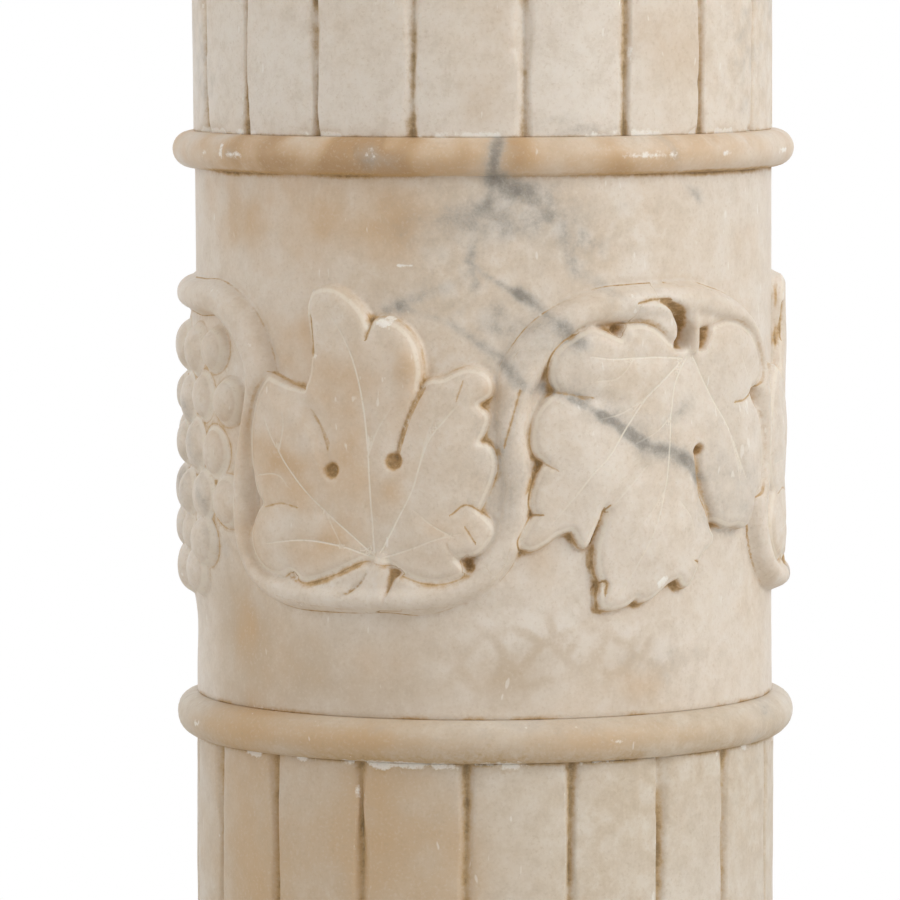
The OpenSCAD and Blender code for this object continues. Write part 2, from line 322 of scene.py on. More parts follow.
# Vine leaves. Points count from the place where the veins meet; a third number marks a corner. swells
# and fills are (x, y, half width, half height, tilt to the left, rise), where a fill is stone left
# standing round the leaf; cuts are knots, half width, depth and soil; holes are (x, y, size, depth);
# soil is (x, y, size, strength) along the edge; a stalk's third number is its half width; hollows are
# outline, depth and soil
uprightLeaf = {
    "places": [(-41, 60), (-41 + girth / 3, 60), (-41 - girth / 3, 60)],
    "outline": [
        (6, -3, 1), (12, -7), (21, -9.5), (29, -8.5), (34, -5), (31, -0.5, 1),  # lower right lobe
        (38, 1), (43, 6), (44.5, 10.5), (42.5, 14), (39, 17, 1),
        (40.5, 20), (43.5, 27), (45, 33), (44.5, 38), (42, 42), (39.5, 42.5, 1),  # right lobe
        (41.5, 47), (42.5, 52), (39, 56, 1), (43.5, 59.5), (43.5, 65), (40, 68.5), (35, 69.5),
        (30, 68), (26, 66), (20, 65), (17.7, 62.3, 1),
        (18.5, 68), (17.5, 75), (15.5, 80), (11.5, 84.5), (6, 87), (1, 87), (-0.5, 84.5, 1),  # middle lobe
        (-4, 90.5), (-9, 95), (-15, 98), (-21, 98), (-25, 96.5, 1), (-27, 91), (-26.5, 84), (-25.5, 77),
        (-25.5, 73, 1), (-26.5, 66), (-28.5, 60.5, 1),
        (-36, 62), (-45, 65.5, 1), (-50, 59), (-53.5, 50), (-55, 40), (-54.5, 30), (-52.5, 22),  # left lobe
        (-49, 17.5, 1), (-52, 14), (-55, 7), (-54, 0), (-50.5, -5), (-45, -8.5), (-38, -9), (-34, -7.5),
        (-29, -10.5), (-22, -9.5), (-14, -6.5), (-7, -3), (-3, -1.5, 1)],
    "swells": [(29, 44, 10, 20, -22, 2.1), (30, 6, 13, 8, 0, 1.8), (-3, 72, 12, 20, 10, 1.7),
               (12, 72, 5, 12, 8, 1.6), (-40, 42, 9, 17, 14, 2.0), (-38, 4, 12, 8, 0, 1.6),
               (-22, 38, 4, 12, 28, 0.7), (0, 8, 9, 8, 0, -1.2), (33, 61, 7, 5, 0, 0.8),
               (8, 42, 3, 9, -20, -1.0), (-24, 66, 4, 9, 0, -0.7)],
    "cuts": [([(8.3, 36), (10.6, 45), (13.6, 53), (17.8, 62)], 0.8, 1.8, 0.6),
             ([(9.4, 36), (12, 45), (15, 53), (19.5, 62)], 3.6, 1.2, 0),
             ([(-16.3, 33), (-18, 39), (-20.5, 46), (-24, 52), (-30, 56.5), (-38, 59)], 3.8, 1.6, 0),
             ([(-17.3, 41), (-20, 46), (-24, 51)], 0.7, 0.5, 0.45),
             ([(-25, 87), (-24.6, 80), (-24.2, 73.5)], 0.8, 1.6, 0.8),
             ([(-28.5, 60.5), (-35, 62.3), (-45, 66)], 0.6, 1.0, 0.6),
             ([(-45, 16.5), (-38, 18), (-31, 17)], 0.5, 0.7, 0.5),
             ([(39, 17), (34, 19.5), (29, 16)], 0.6, 0.8, 0.7),
             ([(31, -0.5), (28, 3), (27.5, 5)], 0.6, 0.7, 0.3),
             ([(34, 11), (37, 6)], 0.5, 0.6, 0.6),
             ([(31, 58), (33, 64)], 0.5, 0.7, 0.5),
             ([(-0.5, 84.5), (-1.5, 80)], 0.8, 1.2, 0.8)],
    "veins": [[(0, 1), (-0.5, 15), (-1.5, 35), (-3, 55), (-6, 70), (-11, 81), (-17, 89)],
              [(-1, 1), (-9, 8), (-19, 16), (-29, 25), (-38, 37), (-45, 49)],
              [(-2, 0), (-11, 3), (-27, 5), (-44, 3)],
              [(3, 2), (10, 15), (15, 25), (18, 35), (21, 43), (28, 52), (34, 59)],
              [(5, 0), (14, 3), (24, 7), (32, 9)],
              [(18, 36), (20, 44), (23, 51)], [(-2, 36), (2, 46), (7, 54)],
              [(-49, 28), (-39, 28.5), (-34, 24)], [(-38, 37), (-36, 46), (-37, 54)],
              [(-19, 16), (-14, 7), (-12, 3)], [(29, 8), (22, 12), (16, 17)]],
    "holes": [(-16, 31, 3.1, 2.0), (8, 35, 3.3, 2.2)],
    "soilAndShade": [(17.7, 62.5, 3.5, 1.0), (40, 57, 3, 1.0), (40.5, 42, 3.2, 1.0), (47, 40, 3, 0.8),
             (39, 16.5, 3, 0.8), (35, -4, 4, 1.0), (22, -9.5, 9, 0.75), (9, -5, 5, 0.9),
             (-33, -8.5, 4, 1.0), (-22, -9.8, 8, 0.9), (-10, -4.5, 6, 0.9), (-25.5, 74, 3, 1.0),
             (-26, 90, 4, 0.6), (-32, 61.5, 5, 0.6), (-0.5, 85, 3, 1.0), (43, 30, 6, 0.4),
             (30, 68.5, 8, 0.35), (5, 87.5, 8, 0.3), (19, 72, 5, 0.4), (-53, 8, 7, 0.3)],
    "fills": [(-2, -10, 40, 8, 0, 5.2), (44, 32, 7, 34, 0, 3.2)],
    "stalk": [(3.2, 0, 3.4), (2.4, -5, 3.8), (1.0, -10, 4.6), (-1.5, -15, 5.6)],
    "hollows": [([(6, -3, 1), (11, -5.5), (8.5, -9), (6.3, -14), (4, -19.5, 1), (4.4, -12), (5.2, -7)],
                 2.4, 0.9),
                ([(0, -2, 1), (-2, -7), (-4.5, -11), (-8.5, -14.5), (-15, -15.8, 1), (-9, -12), (-5.2, -9),
                  (-3, -6)], 2.0, 0.85),
                ([(33, -5, 1), (36, -6), (38, -3), (34, 1, 1), (32.5, -1.5)], 1.6, 1.0),
                ([(-31, -10, 1), (-36, -9.5), (-33, -7.3, 1)], 1.2, 0.9)],
}

hangingLeaf = {
    "places": [(80, 134)],
    "outline": [
        (5, 0.5, 1), (8, 6), (12, 8.5), (20, 10), (27, 9), (32, 7), (37, 4), (41, 0), (44.5, -6), (45, -12),
        (41.5, -15.5), (37.5, -17, 1),  # upper right lobe
        (40, -21), (45, -28), (47, -37), (46.5, -47), (44, -55), (40, -57.5), (38, -64), (33, -68),
        (27, -67), (20, -67), (13, -64.5, 1),  # right lobe
        (12.3, -67), (13.5, -70), (11.5, -73.5), (8, -75.5), (5.5, -79, 1), (4.5, -81.5), (0, -87.5),
        (-4, -87.5),
        (-6, -84.5, 1), (-10, -86), (-14, -89), (-18, -91.5), (-23, -92.5), (-24, -91, 1),  # bottom lobe
        (-28, -93.5), (-34, -94.5), (-38.5, -94, 1), (-39, -89), (-38, -85, 1), (-39.5, -81), (-40.5, -76),
        (-40, -70, 1), (-36.6, -57.5, 1), (-42, -69.5, 1),
        (-44, -71.5), (-46.5, -70), (-49.5, -65, 1), (-54, -66.5), (-59, -70), (-64, -72), (-68, -71, 1),
        (-68.5, -68), (-66, -63), (-63.5, -58.5, 1), (-64.5, -54), (-63.5, -48), (-61, -42),
        (-59.5, -39.5, 1), (-62.5, -37), (-64, -32), (-63.5, -26), (-61.5, -20), (-58.5, -16.5),
        (-55, -14, 1),  # left lobe
        (-57, -10), (-57.5, -5), (-56, 0), (-52, 4.5), (-50, 5.5), (-46, 8), (-41, 10), (-39, 9.5, 1),
        (-30, 5.5, 1), (-29, 9.5), (-24, 10.5), (-19, 10), (-14, 7.5), (-9, 3.5), (-4, 1, 1)],
    "swells": [(-42, -42, 13, 18, 30, 1.9), (-42, -2, 15, 8, 0, 1.6), (-17, -70, 12, 17, 20, 1.9),
               (27, -42, 12, 22, 10, 2.0), (26, 0, 14, 7, 0, 1.3), (0, -10, 9, 9, 0, -0.9),
               (7, -50, 3, 12, -14, -1.3), (-43, -17, 12, 3, 10, -0.9), (30, -20, 14, 3, 0, -0.7),
               (-18, -8, 12, 7, 0, 0.5)],
    "cuts": [([(4, -37), (4.6, -42), (6.4, -49), (9.6, -58), (12.6, -65)], 1.3, 2.3, 0.55),
             ([(3, -40), (3.6, -46), (6, -54), (10, -64)], 4.2, 1.6, 0),
             ([(-36, -57), (-28, -48), (-22, -42)], 3.4, 0.9, 0),
             ([(-55, -14), (-42, -16), (-30, -18)], 3.4, 0.8, 0),
             ([(-36.6, -57.5), (-40.8, -69.5)], 0.9, 1.8, 0.8),
             ([(37.5, -17), (31, -20), (24, -20.5)], 0.7, 1.1, 0.7),
             ([(-55, -14), (-50, -14.5), (-43, -17)], 0.8, 1.3, 0.5),
             ([(-59.5, -39.5), (-57, -41), (-55, -42)], 0.6, 0.9, 0.5),
             ([(-63.5, -58.5), (-60.5, -58.5)], 0.6, 0.9, 0.8),
             ([(-40, -86.5), (-36.5, -83.5), (-36.5, -88)], 0.7, 1.2, 0.9),
             ([(5.5, -79), (2, -78)], 0.6, 0.8, 0.8),
             ([(-24, 18.2), (-18, 19.2), (-11, 19.2)], 0.8, 1.0, 0.8)],
    "veins": [[(-1, -3), (-7, -12), (-9, -24), (-10, -37), (-12, -51), (-17, -64), (-25, -79), (-29, -86)],
              [(2, -3), (10, -17), (20, -31), (25, -42), (29, -49)],
              [(-5, -5), (-12, -10), (-19, -16), (-28, -27), (-35, -37), (-42, -44), (-49, -53), (-56, -61)],
              [(-3, -3), (-15, -2), (-25, -2), (-35, -2), (-42, -1)],
              [(20, -31), (24, -45), (26, -54)], [(-19, -16), (-30, -22), (-39, -24)],
              [(-12, -51), (-20, -60), (-30, -70)], [(-20, -42), (-30, -52), (-42, -64)],
              [(-25, -2), (-32, -9), (-40, -10)], [(-9, -24), (-17, -30), (-24, -33)],
              [(-5, -56), (0, -62), (2, -70)], [(28, -4), (33, -11)]],
    "holes": [(4, -37, 2.3, 2.6)],
    # the spot at (-55, -13), in the left notch, is partly painted shade there
    "soilAndShade": [(-48, 5, 4, 1.0), (-32.5, 8, 3.5, 1.0), (-20, 11, 8, 0.5), (-55, -13, 4, 0.9), (-58, -3, 6, 0.8),
             (-61, -39.5, 4, 1.0), (-63.5, -30, 7, 0.6), (-64, -50, 7, 0.9), (-63.5, -58.5, 4, 1.0),
             (-68, -70, 4, 0.9), (-58, -71, 6, 0.3), (-48, -67, 4, 1.0), (-40, -76, 6, 1.0),
             (-38, -86, 5, 1.0), (-38, -94, 4, 0.9), (-23, -92.5, 4, 1.0), (-6, -86, 4, 1.0),
             (6, -79, 3, 0.9), (30, -69, 8, 0.4), (38, -17, 4, 0.9), (13, -66, 4, 0.8), (-30, -94.5, 6, 0.5),
             (42, -57, 5, 0.6), (28, 10, 8, 0.35)],
    "fills": [(-14, 9.5, 10, 8, -35, 5.6), (-67, -25, 6, 24, 0, 3.0), (6, 14, 14, 7, -15, 5.0)],
    "stalk": [(-14.4, 22, 2.8), (-5.2, 20.8, 2.6), (0.8, 16.4, 2.4), (2.5, 9.2, 2.2), (2.2, 0, 2.4)],
    "hollows": [([(-21, 18.8, 1), (-11, 19.2), (-3.6, 16.2), (-0.1, 10.8), (0.2, 4.9), (-1.6, -0.6, 1),
                  (-8.2, 0.2, 1), (-6.6, 2.9), (-6.6, 6.5), (-7.6, 10.8), (-10.6, 14.4), (-14.5, 17)],
                 4.0, 1.0),
                ([(4.4, -0.8, 1), (4.4, 6.4), (7.3, 8.8), (12.5, 8.4, 1), (9.8, 4), (7.6, -0.4, 1)],
                 3.2, 1.0),
                ([(-33, 7, 1), (-30, 6, 1), (-28.5, 10.3), (-33, 9.6)], 2.0, 0.9),
                ([(-48, 7, 1), (-46.5, 8), (-43, 10.5), (-47, 9.5)], 1.4, 0.8)],
}

grapes = {
    # middle of each bunch's top row, under the first and the last crest
    "places": [(vine["crest"], 133), (vine["crest"] + 2 * vine["wave"], 133)],
    "rows": [5, 6, 5, 6, 4, 3],
    "rowDrop": [0, 19.5, 38, 55, 71, 84],
    "pitch": 19.0,
    "radius": 10.2,
    "out": 7.8,
}


def layVine(skin, carving):
    # the stem: height = out (1 - u^2.4)^0.65, where u is the distance from its middle line over its half
    # width, which wavers a little. A cut line runs along its foot
    knots = []
    for wave, falling in enumerate(("fallingLeft", "fallingRight", "fallingLeft")):
        start = vine["crest"] + wave * vine["wave"]
        knots += [(start + a, z, w) for a, z, w in vine[falling] + vine["rising"]]
    knots.append((knots[0][0] + girth, knots[0][1], knots[0][2]))
    knots = np.array(knots)
    line = smoothPath(knots[:, :2])
    width = np.interp(np.linspace(0, len(knots) - 1, len(line)), np.arange(len(knots)), knots[:, 2])
    distance, _, half = nearPath(skin, np.column_stack([line, width]), 14)
    half = np.maximum(half, 4) + 0.35 * cloud(skin, 6, 31)
    u = np.clip(distance / half, 0, 1)
    stem = vine["out"] * (1 - u**2.4) ** 0.65
    edge = half - distance
    carving["height"] -= 0.7 * np.exp(-(((edge + 0.5) / 0.7) ** 2)) * (distance < 13)
    carving["height"] = np.maximum(carving["height"], np.where(distance < half, stem, -9))
    carving["stemEdge"] = np.clip(edge, -4, 4)


def cutLine(skin, carving, knots, half, deep, soilAndShade, at=(0, 0)):
    # V-shaped cut: it sinks the surface by deep (1 - distance / (1.25 half)), and soil lies in it as
    # exp(-(distance / (0.8 half))^2)
    path = smoothPath([(x + at[0], y + at[1]) for x, y in knots])
    distance, side, _ = nearPath(skin, path, 6)
    carving["height"] -= deep * np.clip(1 - distance / (half * 1.25), 0, 1)
    carving["dirtAndShade"] = np.maximum(carving["dirtAndShade"], soilAndShade * np.exp(-((distance / (half * 0.8)) ** 2)))
    nearer = distance < carving["cutNear"]
    carving["cutNear"] = np.where(nearer, distance, carving["cutNear"])
    carving["cutSide"] = np.where(nearer, distance * side, carving["cutSide"])
    carving["cutSoil"] = np.where(distance < 3, np.maximum(carving["cutSoil"], soilAndShade), carving["cutSoil"])


def layStalk(skin, carving, knots, out, at):
    # short stalk: height = out (1 - u^2.6)^0.5, where u is the distance over the knots' third number
    knots = np.array(knots, float)
    path = smoothPath(knots[:, :2] + np.array(at))
    width = np.interp(np.linspace(0, len(knots) - 1, len(path)), np.arange(len(knots)), knots[:, 2])
    distance, _, half = nearPath(skin, np.column_stack([path, width]), 9)
    half = np.maximum(half, 2)
    ridge = out * (1 - np.clip(distance / half, 0, 1) ** 2.6) ** 0.5
    carving["height"] = np.maximum(carving["height"], np.where(distance < half, ridge, -9))
    carving["stemEdge"] = np.where(distance < half, -4, carving["stemEdge"])


def layLeaf(skin, carving, leaf, at):
    # a leaf: its top is a plate with hills and dips, rounded off towards its edge, which falls steeply
    # to what lies under it, with a cut line round its foot. edge is the distance inside its outline
    outline = smoothPath([(k[0] + at[0], k[1] + at[1], *k[2:]) for k in leaf["outline"]], closed=True)
    distance, _, _ = nearPath(skin, outline, 9)
    inside = insideOutline(skin, outline)
    edge = np.where(inside, distance, -distance)
    top = np.full(shapeOf(skin), 5.3)
    for x, y, wide, tall, tilt, rise in leaf["swells"]:
        top += rise * hump(skin, at[0] + x, at[1] + y, wide, tall, tilt)
    top -= 1.7 * (1 - smoothStep(0, 5, edge)) ** 2
    for x, y, wide, tall, tilt, level in leaf["fills"]:
        fill = level * smoothStep(0.1, 0.6, hump(skin, at[0] + x, at[1] + y, wide, tall, tilt))
        carving["height"] = np.maximum(carving["height"], fill)
        carving["stemEdge"] = np.where(fill > 1, -4, carving["stemEdge"])
    under = carving["height"] - 0.6 * np.exp(-(((edge + 0.9) / 0.7) ** 2))
    carving["height"] = under + smoothStep(-1.1, 0.4, edge) * (top - under)
    carving["leafEdge"] = np.maximum(carving["leafEdge"], edge)
    for x, y, size, strength in leaf["soilAndShade"]:
        spot = hump(skin, at[0] + x, at[1] + y, 1.25 * size, 1.25 * size)
        carving["soilAndShade"] = np.maximum(carving["soilAndShade"], strength * spot)
    layStalk(skin, carving, leaf["stalk"], 6.2, at)
    for knots, half, deep, soilAndShade in leaf["cuts"]:
        cutLine(skin, carving, knots, half, deep, soilAndShade, at)
    for knots, deep, strength in leaf["hollows"]:
        # hollow with sloping sides: it sinks by 1.9 times the distance from its edge, down to its depth
        ring = smoothPath([(k[0] + at[0], k[1] + at[1], *k[2:]) for k in knots], closed=True)
        distance, _, _ = nearPath(skin, ring, 6)
        sunk = np.where(insideOutline(skin, ring), distance, 0)
        carving["height"] -= np.minimum(1.9 * sunk, deep)
        carving["dirtAndShade"] = np.maximum(carving["dirtAndShade"], strength * smoothStep(0.1, 1.3, sunk))
        carving["leafEdge"] = np.where(sunk > 0, -4, carving["leafEdge"])
    for order, knots in enumerate(leaf["veins"]):
        # a vein is a fine cut in a shallow valley, strongest at its root. The first four are the main ones
        path = smoothPath([(x + at[0], y + at[1]) for x, y in knots])
        strong = (1.0 if order < 4 else 0.55) * (1 - 0.55 * np.linspace(0, 1, len(path)) ** 2)
        distance, side, share = nearPath(skin, np.column_stack([path, strong]), 6)
        valley = 0.3 * np.exp(-((distance / 0.7) ** 2)) + 0.6 * np.exp(-((distance / 3.2) ** 2))
        carving["height"] -= share * valley * (distance < 6)
        nearer = distance < carving["veinNear"]
        carving["veinShare"] = np.where(nearer, share, carving["veinShare"])
        carving["veinNear"] = np.where(nearer, distance, carving["veinNear"])
        carving["veinSide"] = np.where(nearer, distance * side, carving["veinSide"])
    for x, y, size, deep in leaf["holes"]:
        bore = hump(skin, at[0] + x, at[1] + y, size, size)
        carving["height"] -= deep * smoothStep(0.25, 0.75, bore)
        carving["dirtAndShade"] = np.maximum(carving["dirtAndShade"], 0.85 * smoothStep(0.15, 0.6, bore))


def layGrapes(skin, carving, at):
    # a bunch: staggered rows of balls, each of height out (1 - (distance / radius)^2.4)^0.55. The
    # highest wins, and a low swell fills the gaps between them
    rng = np.random.default_rng(7)
    for count, drop in zip(grapes["rows"], grapes["rowDrop"]):
        for berry in range(count):
            a = at[0] + (berry - (count - 1) / 2) * grapes["pitch"] + rng.normal(0, 1.1)
            z = at[1] - drop + rng.normal(0, 1.4)
            radius = grapes["radius"] + rng.normal(0, 0.7)
            path = np.array([(a, z), (a + 0.01, z)])
            distance, _, _ = nearPath(skin, path, 15)
            out = grapes["out"] + rng.normal(0, 0.4)
            ball = out * np.clip(1 - (distance / radius) ** 2.4, 0, 1) ** 0.55
            carving["height"] = np.maximum(carving["height"], np.where(distance < radius, ball, -9))
            carving["leafEdge"] = np.maximum(carving["leafEdge"], radius - distance)
    swell = 3.4 * smoothStep(0.25, 0.6, hump(skin, at[0], at[1] - 40, 58, 58))
    carving["height"] = np.maximum(carving["height"], swell)
    carving["soilAndShade"] = np.maximum(carving["soilAndShade"], 0.6 * hump(skin, at[0], at[1] - 40, 55, 55))


def carveDrum(skin):
    # fields over the unrolled drum: the height over its ground, and the soil, edges, cuts and veins that
    # the finish reads. Soil gathers where the surface lies under its own blurred height, and at edges
    zero = np.zeros(shapeOf(skin))
    carving = {
        "height": drum["groundSwell"] * cloud(skin, 22, 1) + 0.05 * cloud(skin, 4, 2),
        "dirtAndShade": zero.copy(), "soilAndShade": zero.copy(), "cutSoil": zero.copy(),
        "leafEdge": zero - 4, "stemEdge": zero - 4,
        "veinNear": zero + 6, "veinSide": zero + 6, "veinShare": zero.copy(),
        "cutNear": zero + 6, "cutSide": zero + 6,
    }
    layVine(skin, carving)
    for at in grapes["places"]:
        layGrapes(skin, carving, at)
    for leaf in (uprightLeaf, hangingLeaf):
        for at in leaf["places"]:
            layLeaf(skin, carving, leaf, at)
    cutLine(skin, carving, *drum["looseCut"])
    print("vine, leaves and grapes laid out")
    carving["height"] = blur(skin, carving["height"], drum["edgeSoft"])
    hollow = np.clip(0.6 * (blur(skin, carving["height"], 1.5) - carving["height"]) - 0.12, 0, 1)
    loose = np.clip(0.35 + 0.35 * cloud(skin, 7, 3), 0, 1)
    soilAndShade = np.clip(carving["soilAndShade"] + 0.3 * loose, 0, 1)
    edge = np.maximum(carving["leafEdge"], carving["stemEdge"] - 0.3)
    heap = 0.95 * soilAndShade**1.5 * np.exp(-(((edge + 0.8) / 1.3) ** 2))
    carving["soilAndShade"] = soilAndShade
    carving["dirtAndShade"] = np.clip(np.maximum(carving["dirtAndShade"], np.maximum(hollow * soilAndShade, heap)), 0, 1)
    return carving


# Colour of the stone, laid on the drum: grey veins are knots, half width, strength; patches are
# (a, z, half width, half height, tilt to the left, strength). Dusk is a greyer, darker tint: most of its
# patches lie on the drum's lower part and left side, where they are painted shade, and the rest are
# darker stone
stains = {
    "veins": [
        ([(5, 213), (3, 204), (2, 197)], 2.2, 0.9),
        ([(5, 198), (0, 190), (-4, 180), (-5, 170), (-4, 160)], 3.0, 0.55),
        ([(12, 197), (17, 190), (24, 184)], 2.5, 0.5),
        ([(-6, 168), (2, 162), (12, 156), (22, 149), (33, 139)], 2.4, 0.75),
        ([(20, 193), (28, 180), (33, 165), (44, 158), (55, 150)], 3.5, 0.35),
        ([(-38, 150), (-20, 156), (-5, 163)], 3.2, 0.4),
        ([(-32, 151), (-18, 147), (-8, 142), (5, 133)], 3.0, 0.55),
        ([(5, 133), (12, 124), (24, 121)], 2.6, 0.6),
        ([(24, 121), (35, 116), (47, 108), (60, 100), (72, 96), (80, 92), (84, 86)], 1.7, 0.92),
        ([(84, 86), (88, 78), (93, 70), (100, 66), (110, 64)], 1.6, 0.4),
        ([(60, 100), (70, 108), (79, 116)], 2.5, 0.25),
        ([(66, 213), (70, 206), (75, 199), (88, 190)], 2.5, 0.35),
        ([(-120, 60), (-135, 90), (-150, 110)], 4, 0.3),
        ([(160, 40), (175, 90), (200, 120), (230, 150)], 3, 0.6),
        ([(-220, 190), (-250, 150), (-262, 110), (-300, 70)], 3, 0.6),
        ([(250, 20), (262, 60), (300, 90)], 3, 0.5),
    ],
    "greyPatches": [
        (12, 193, 13, 6, 0, 0.55), (0, 180, 28, 20, 0, 0.38), (40, 178, 24, 14, 0, 0.25),
        (10, 145, 30, 16, 0, 0.3), (104, 85, 22, 26, 0, 0.3), (6, 95, 12, 36, 0, 0.28),
        (45, 112, 26, 7, -25, 0.35), (-10, 150, 24, 8, 0, 0.25), (-160, 90, 26, 40, 0, 0.22),
        (92, 72, 12, 9, 0, 0.3), (-38, 206, 9, 6, 0, 0.35), (-104, 206, 4, 3, 0, 0.4),
        (66, 206, 4, 8, 0, 0.35), (80, 20, 30, 10, 0, 0.15), (-250, 120, 30, 30, 0, 0.4),
        (210, 100, 26, 34, 0, 0.35),
    ],
    "honeyPatches": [
        (-90, 186, 70, 28, 0, 0.62), (-26, 182, 40, 24, 0, 0.48), (-105, 20, 14, 40, 0, 0.5),
        (-65, 72, 50, 28, 0, 0.66), (-18, 72, 24, 22, 0, 0.52), (-55, 75, 16, 13, 0, 0.45),
        (-75, 20, 60, 26, 0, 0.4), (-65, 105, 60, 70, 0, 0.52), (-20, 20, 40, 20, 0, 0.2),
        (-75, 100, 11, 10, 0, 0.45), (-26, 124, 10, 18, 0, 0.7), (2, 118, 8, 10, 0, 0.75),
        (-32, 84, 10, 12, 0, 0.6), (-60, 62, 12, 6, 0, 0.45), (20, 60, 10, 20, 0, 0.3),
        (38, 172, 12, 14, 0, 0.35), (-40, 58, 7, 6, 0, 0.5), (120, 170, 20, 16, 0, 0.3),
        (-20, 12, 30, 10, 0, 0.25), (60, 12, 26, 10, 0, 0.3), (-130, 150, 22, 20, 0, 0.3),
        (-60, 110, 16, 30, 0, 0.25), (110, 130, 14, 8, 0, 0.25), (300, 150, 40, 20, 0, 0.5),
        (-300, 30, 40, 14, 0, 0.4),
    ],
    "ringHoney": [
        (-85, 206, 60, 20, 0, 1.05), (-50, 206, 40, 20, 0, 1.35), (-25, 206, 30, 20, 0, 1.3),
        (5, 206, 30, 20, 0, 0.9), (45, 206, 30, 20, 0, 0.85), (70, 206, 26, 20, 0, 0.95),
        (-145, 206, 20, 10, 0, 0.7), (95, 206, 16, 10, 0, 0.35), (200, 206, 60, 10, 0, 0.7),
        (-260, 206, 50, 10, 0, 0.6),
    ],
    "shadeAndTone": [
        (-60, 16, 75, 30, 0, 0.7), (30, 14, 55, 24, 0, 0.52), (-40, 68, 70, 26, 0, 0.42),
        (-100, 120, 30, 90, 0, 0.26), (-104, 20, 30, 40, 0, 0.85), (-100, 190, 24, 40, 0, 0.42),
        (-70, 190, 70, 30, 0, 0.25), (0, 84, 16, 14, 0, 0.4), (-38, 160, 22, 12, 0, 0.35),
        (100, 60, 14, 150, 0, 0.3), (-10, 206, 110, 6, 0, 0.4), (220, 60, 70, 90, 0, 0.4),
        (-250, 150, 70, 60, 0, 0.3),
    ],
    "blobs": [
        (28, 22, 55, 22, 0, 1.0), (20, 176, 40, 22, 0, 0.8), (70, 40, 20, 30, 0, 0.6),
        (-30, 120, 60, 40, 0, 0.3),
    ],
    "bruises": [
        (-30, 166, 4, 1.1, 0, 1.0), (-36, 146, 4, 1.8, 12, 0.9), (66, 49, 4, 2.2, 40, 0.8),
        (87, 59, 2, 4, 0, 0.5), (-108, 207, 2, 4, 0, 0.9), (-40, 207, 3, 3, 0, 0.6),
        (-64, 133, 1.5, 1.5, 0, 0.7), (12, 176, 3, 1, 30, 0.3),
    ],
}


def stainDrum(skin, carving):
    # a grey vein is exp(-(distance / width)^2) and a fainter halo more than twice as wide; clouds, honey
    # and bruises are patches. Noise breaks each of them up
    grey = np.zeros(shapeOf(skin))
    ragged = cloud(skin, 2.2, 11)
    loose = cloud(skin, 9, 12)
    for knots, half, strength in stains["veins"]:
        distance, _, _ = nearPath(skin, smoothPath(knots), 26)
        width = half * (1 + 0.25 * loose + 0.12 * ragged)
        core = np.exp(-((distance / np.maximum(width, 0.8)) ** 2)) * (distance < 25)
        halo = 0.4 * np.exp(-((distance / (2.2 * half + 2)) ** 2)) * (distance < 25)
        grey = np.maximum(grey, strength * (core * (0.8 + 0.25 * ragged) + halo * (0.8 + 0.3 * loose)))
    grey = np.maximum(grey, patchwork(skin, stains["greyPatches"]) * (1 + 0.35 * loose + 0.25 * ragged))
    ring = skin["z"][:, None] > drum["groundHeight"]
    honey = np.where(ring, np.maximum(0.5, patchwork(skin, stains["ringHoney"])),
                     np.maximum(0.05, patchwork(skin, stains["honeyPatches"])))
    uneven = 0.16 * loose + 0.16 * cloud(skin, 5, 15) + 0.08 * ragged
    honey = honey * np.clip(0.95 + uneven * (1 - 0.2 * ring), 0, 2)
    bruiseAndHighlight = np.zeros(shapeOf(skin))
    for patch in stains["bruises"]:
        bruiseAndHighlight = np.maximum(bruiseAndHighlight, patch[5] * smoothStep(0.35, 0.6, hump(skin, *patch[:5]) + 0.08 * ragged))
    chips = smoothStep(1.8, 2.6, cloud(skin, 1.3, 13) + 0.6 * cloud(skin, 6, 14))
    bruiseAndHighlight = np.maximum(0.8 * bruiseAndHighlight, 0.4 * chips * (0.3 + 0.7 * smoothStep(3.5, 6.5, carving["height"])))
    carving["blobs"] = np.clip(patchwork(skin, stains["blobs"]) * (0.8 + 0.2 * loose), 0, 1)
    carving["shadeAndTone"] = np.clip(patchwork(skin, stains["shadeAndTone"]) * (1 + 0.15 * loose), 0, 1)
    carving["grey"] = np.clip(grey, 0, 1)
    carving["honey"] = np.clip(honey, 0, 1.4)
    carving["bruiseAndHighlight"] = np.clip(bruiseAndHighlight, 0, 1)


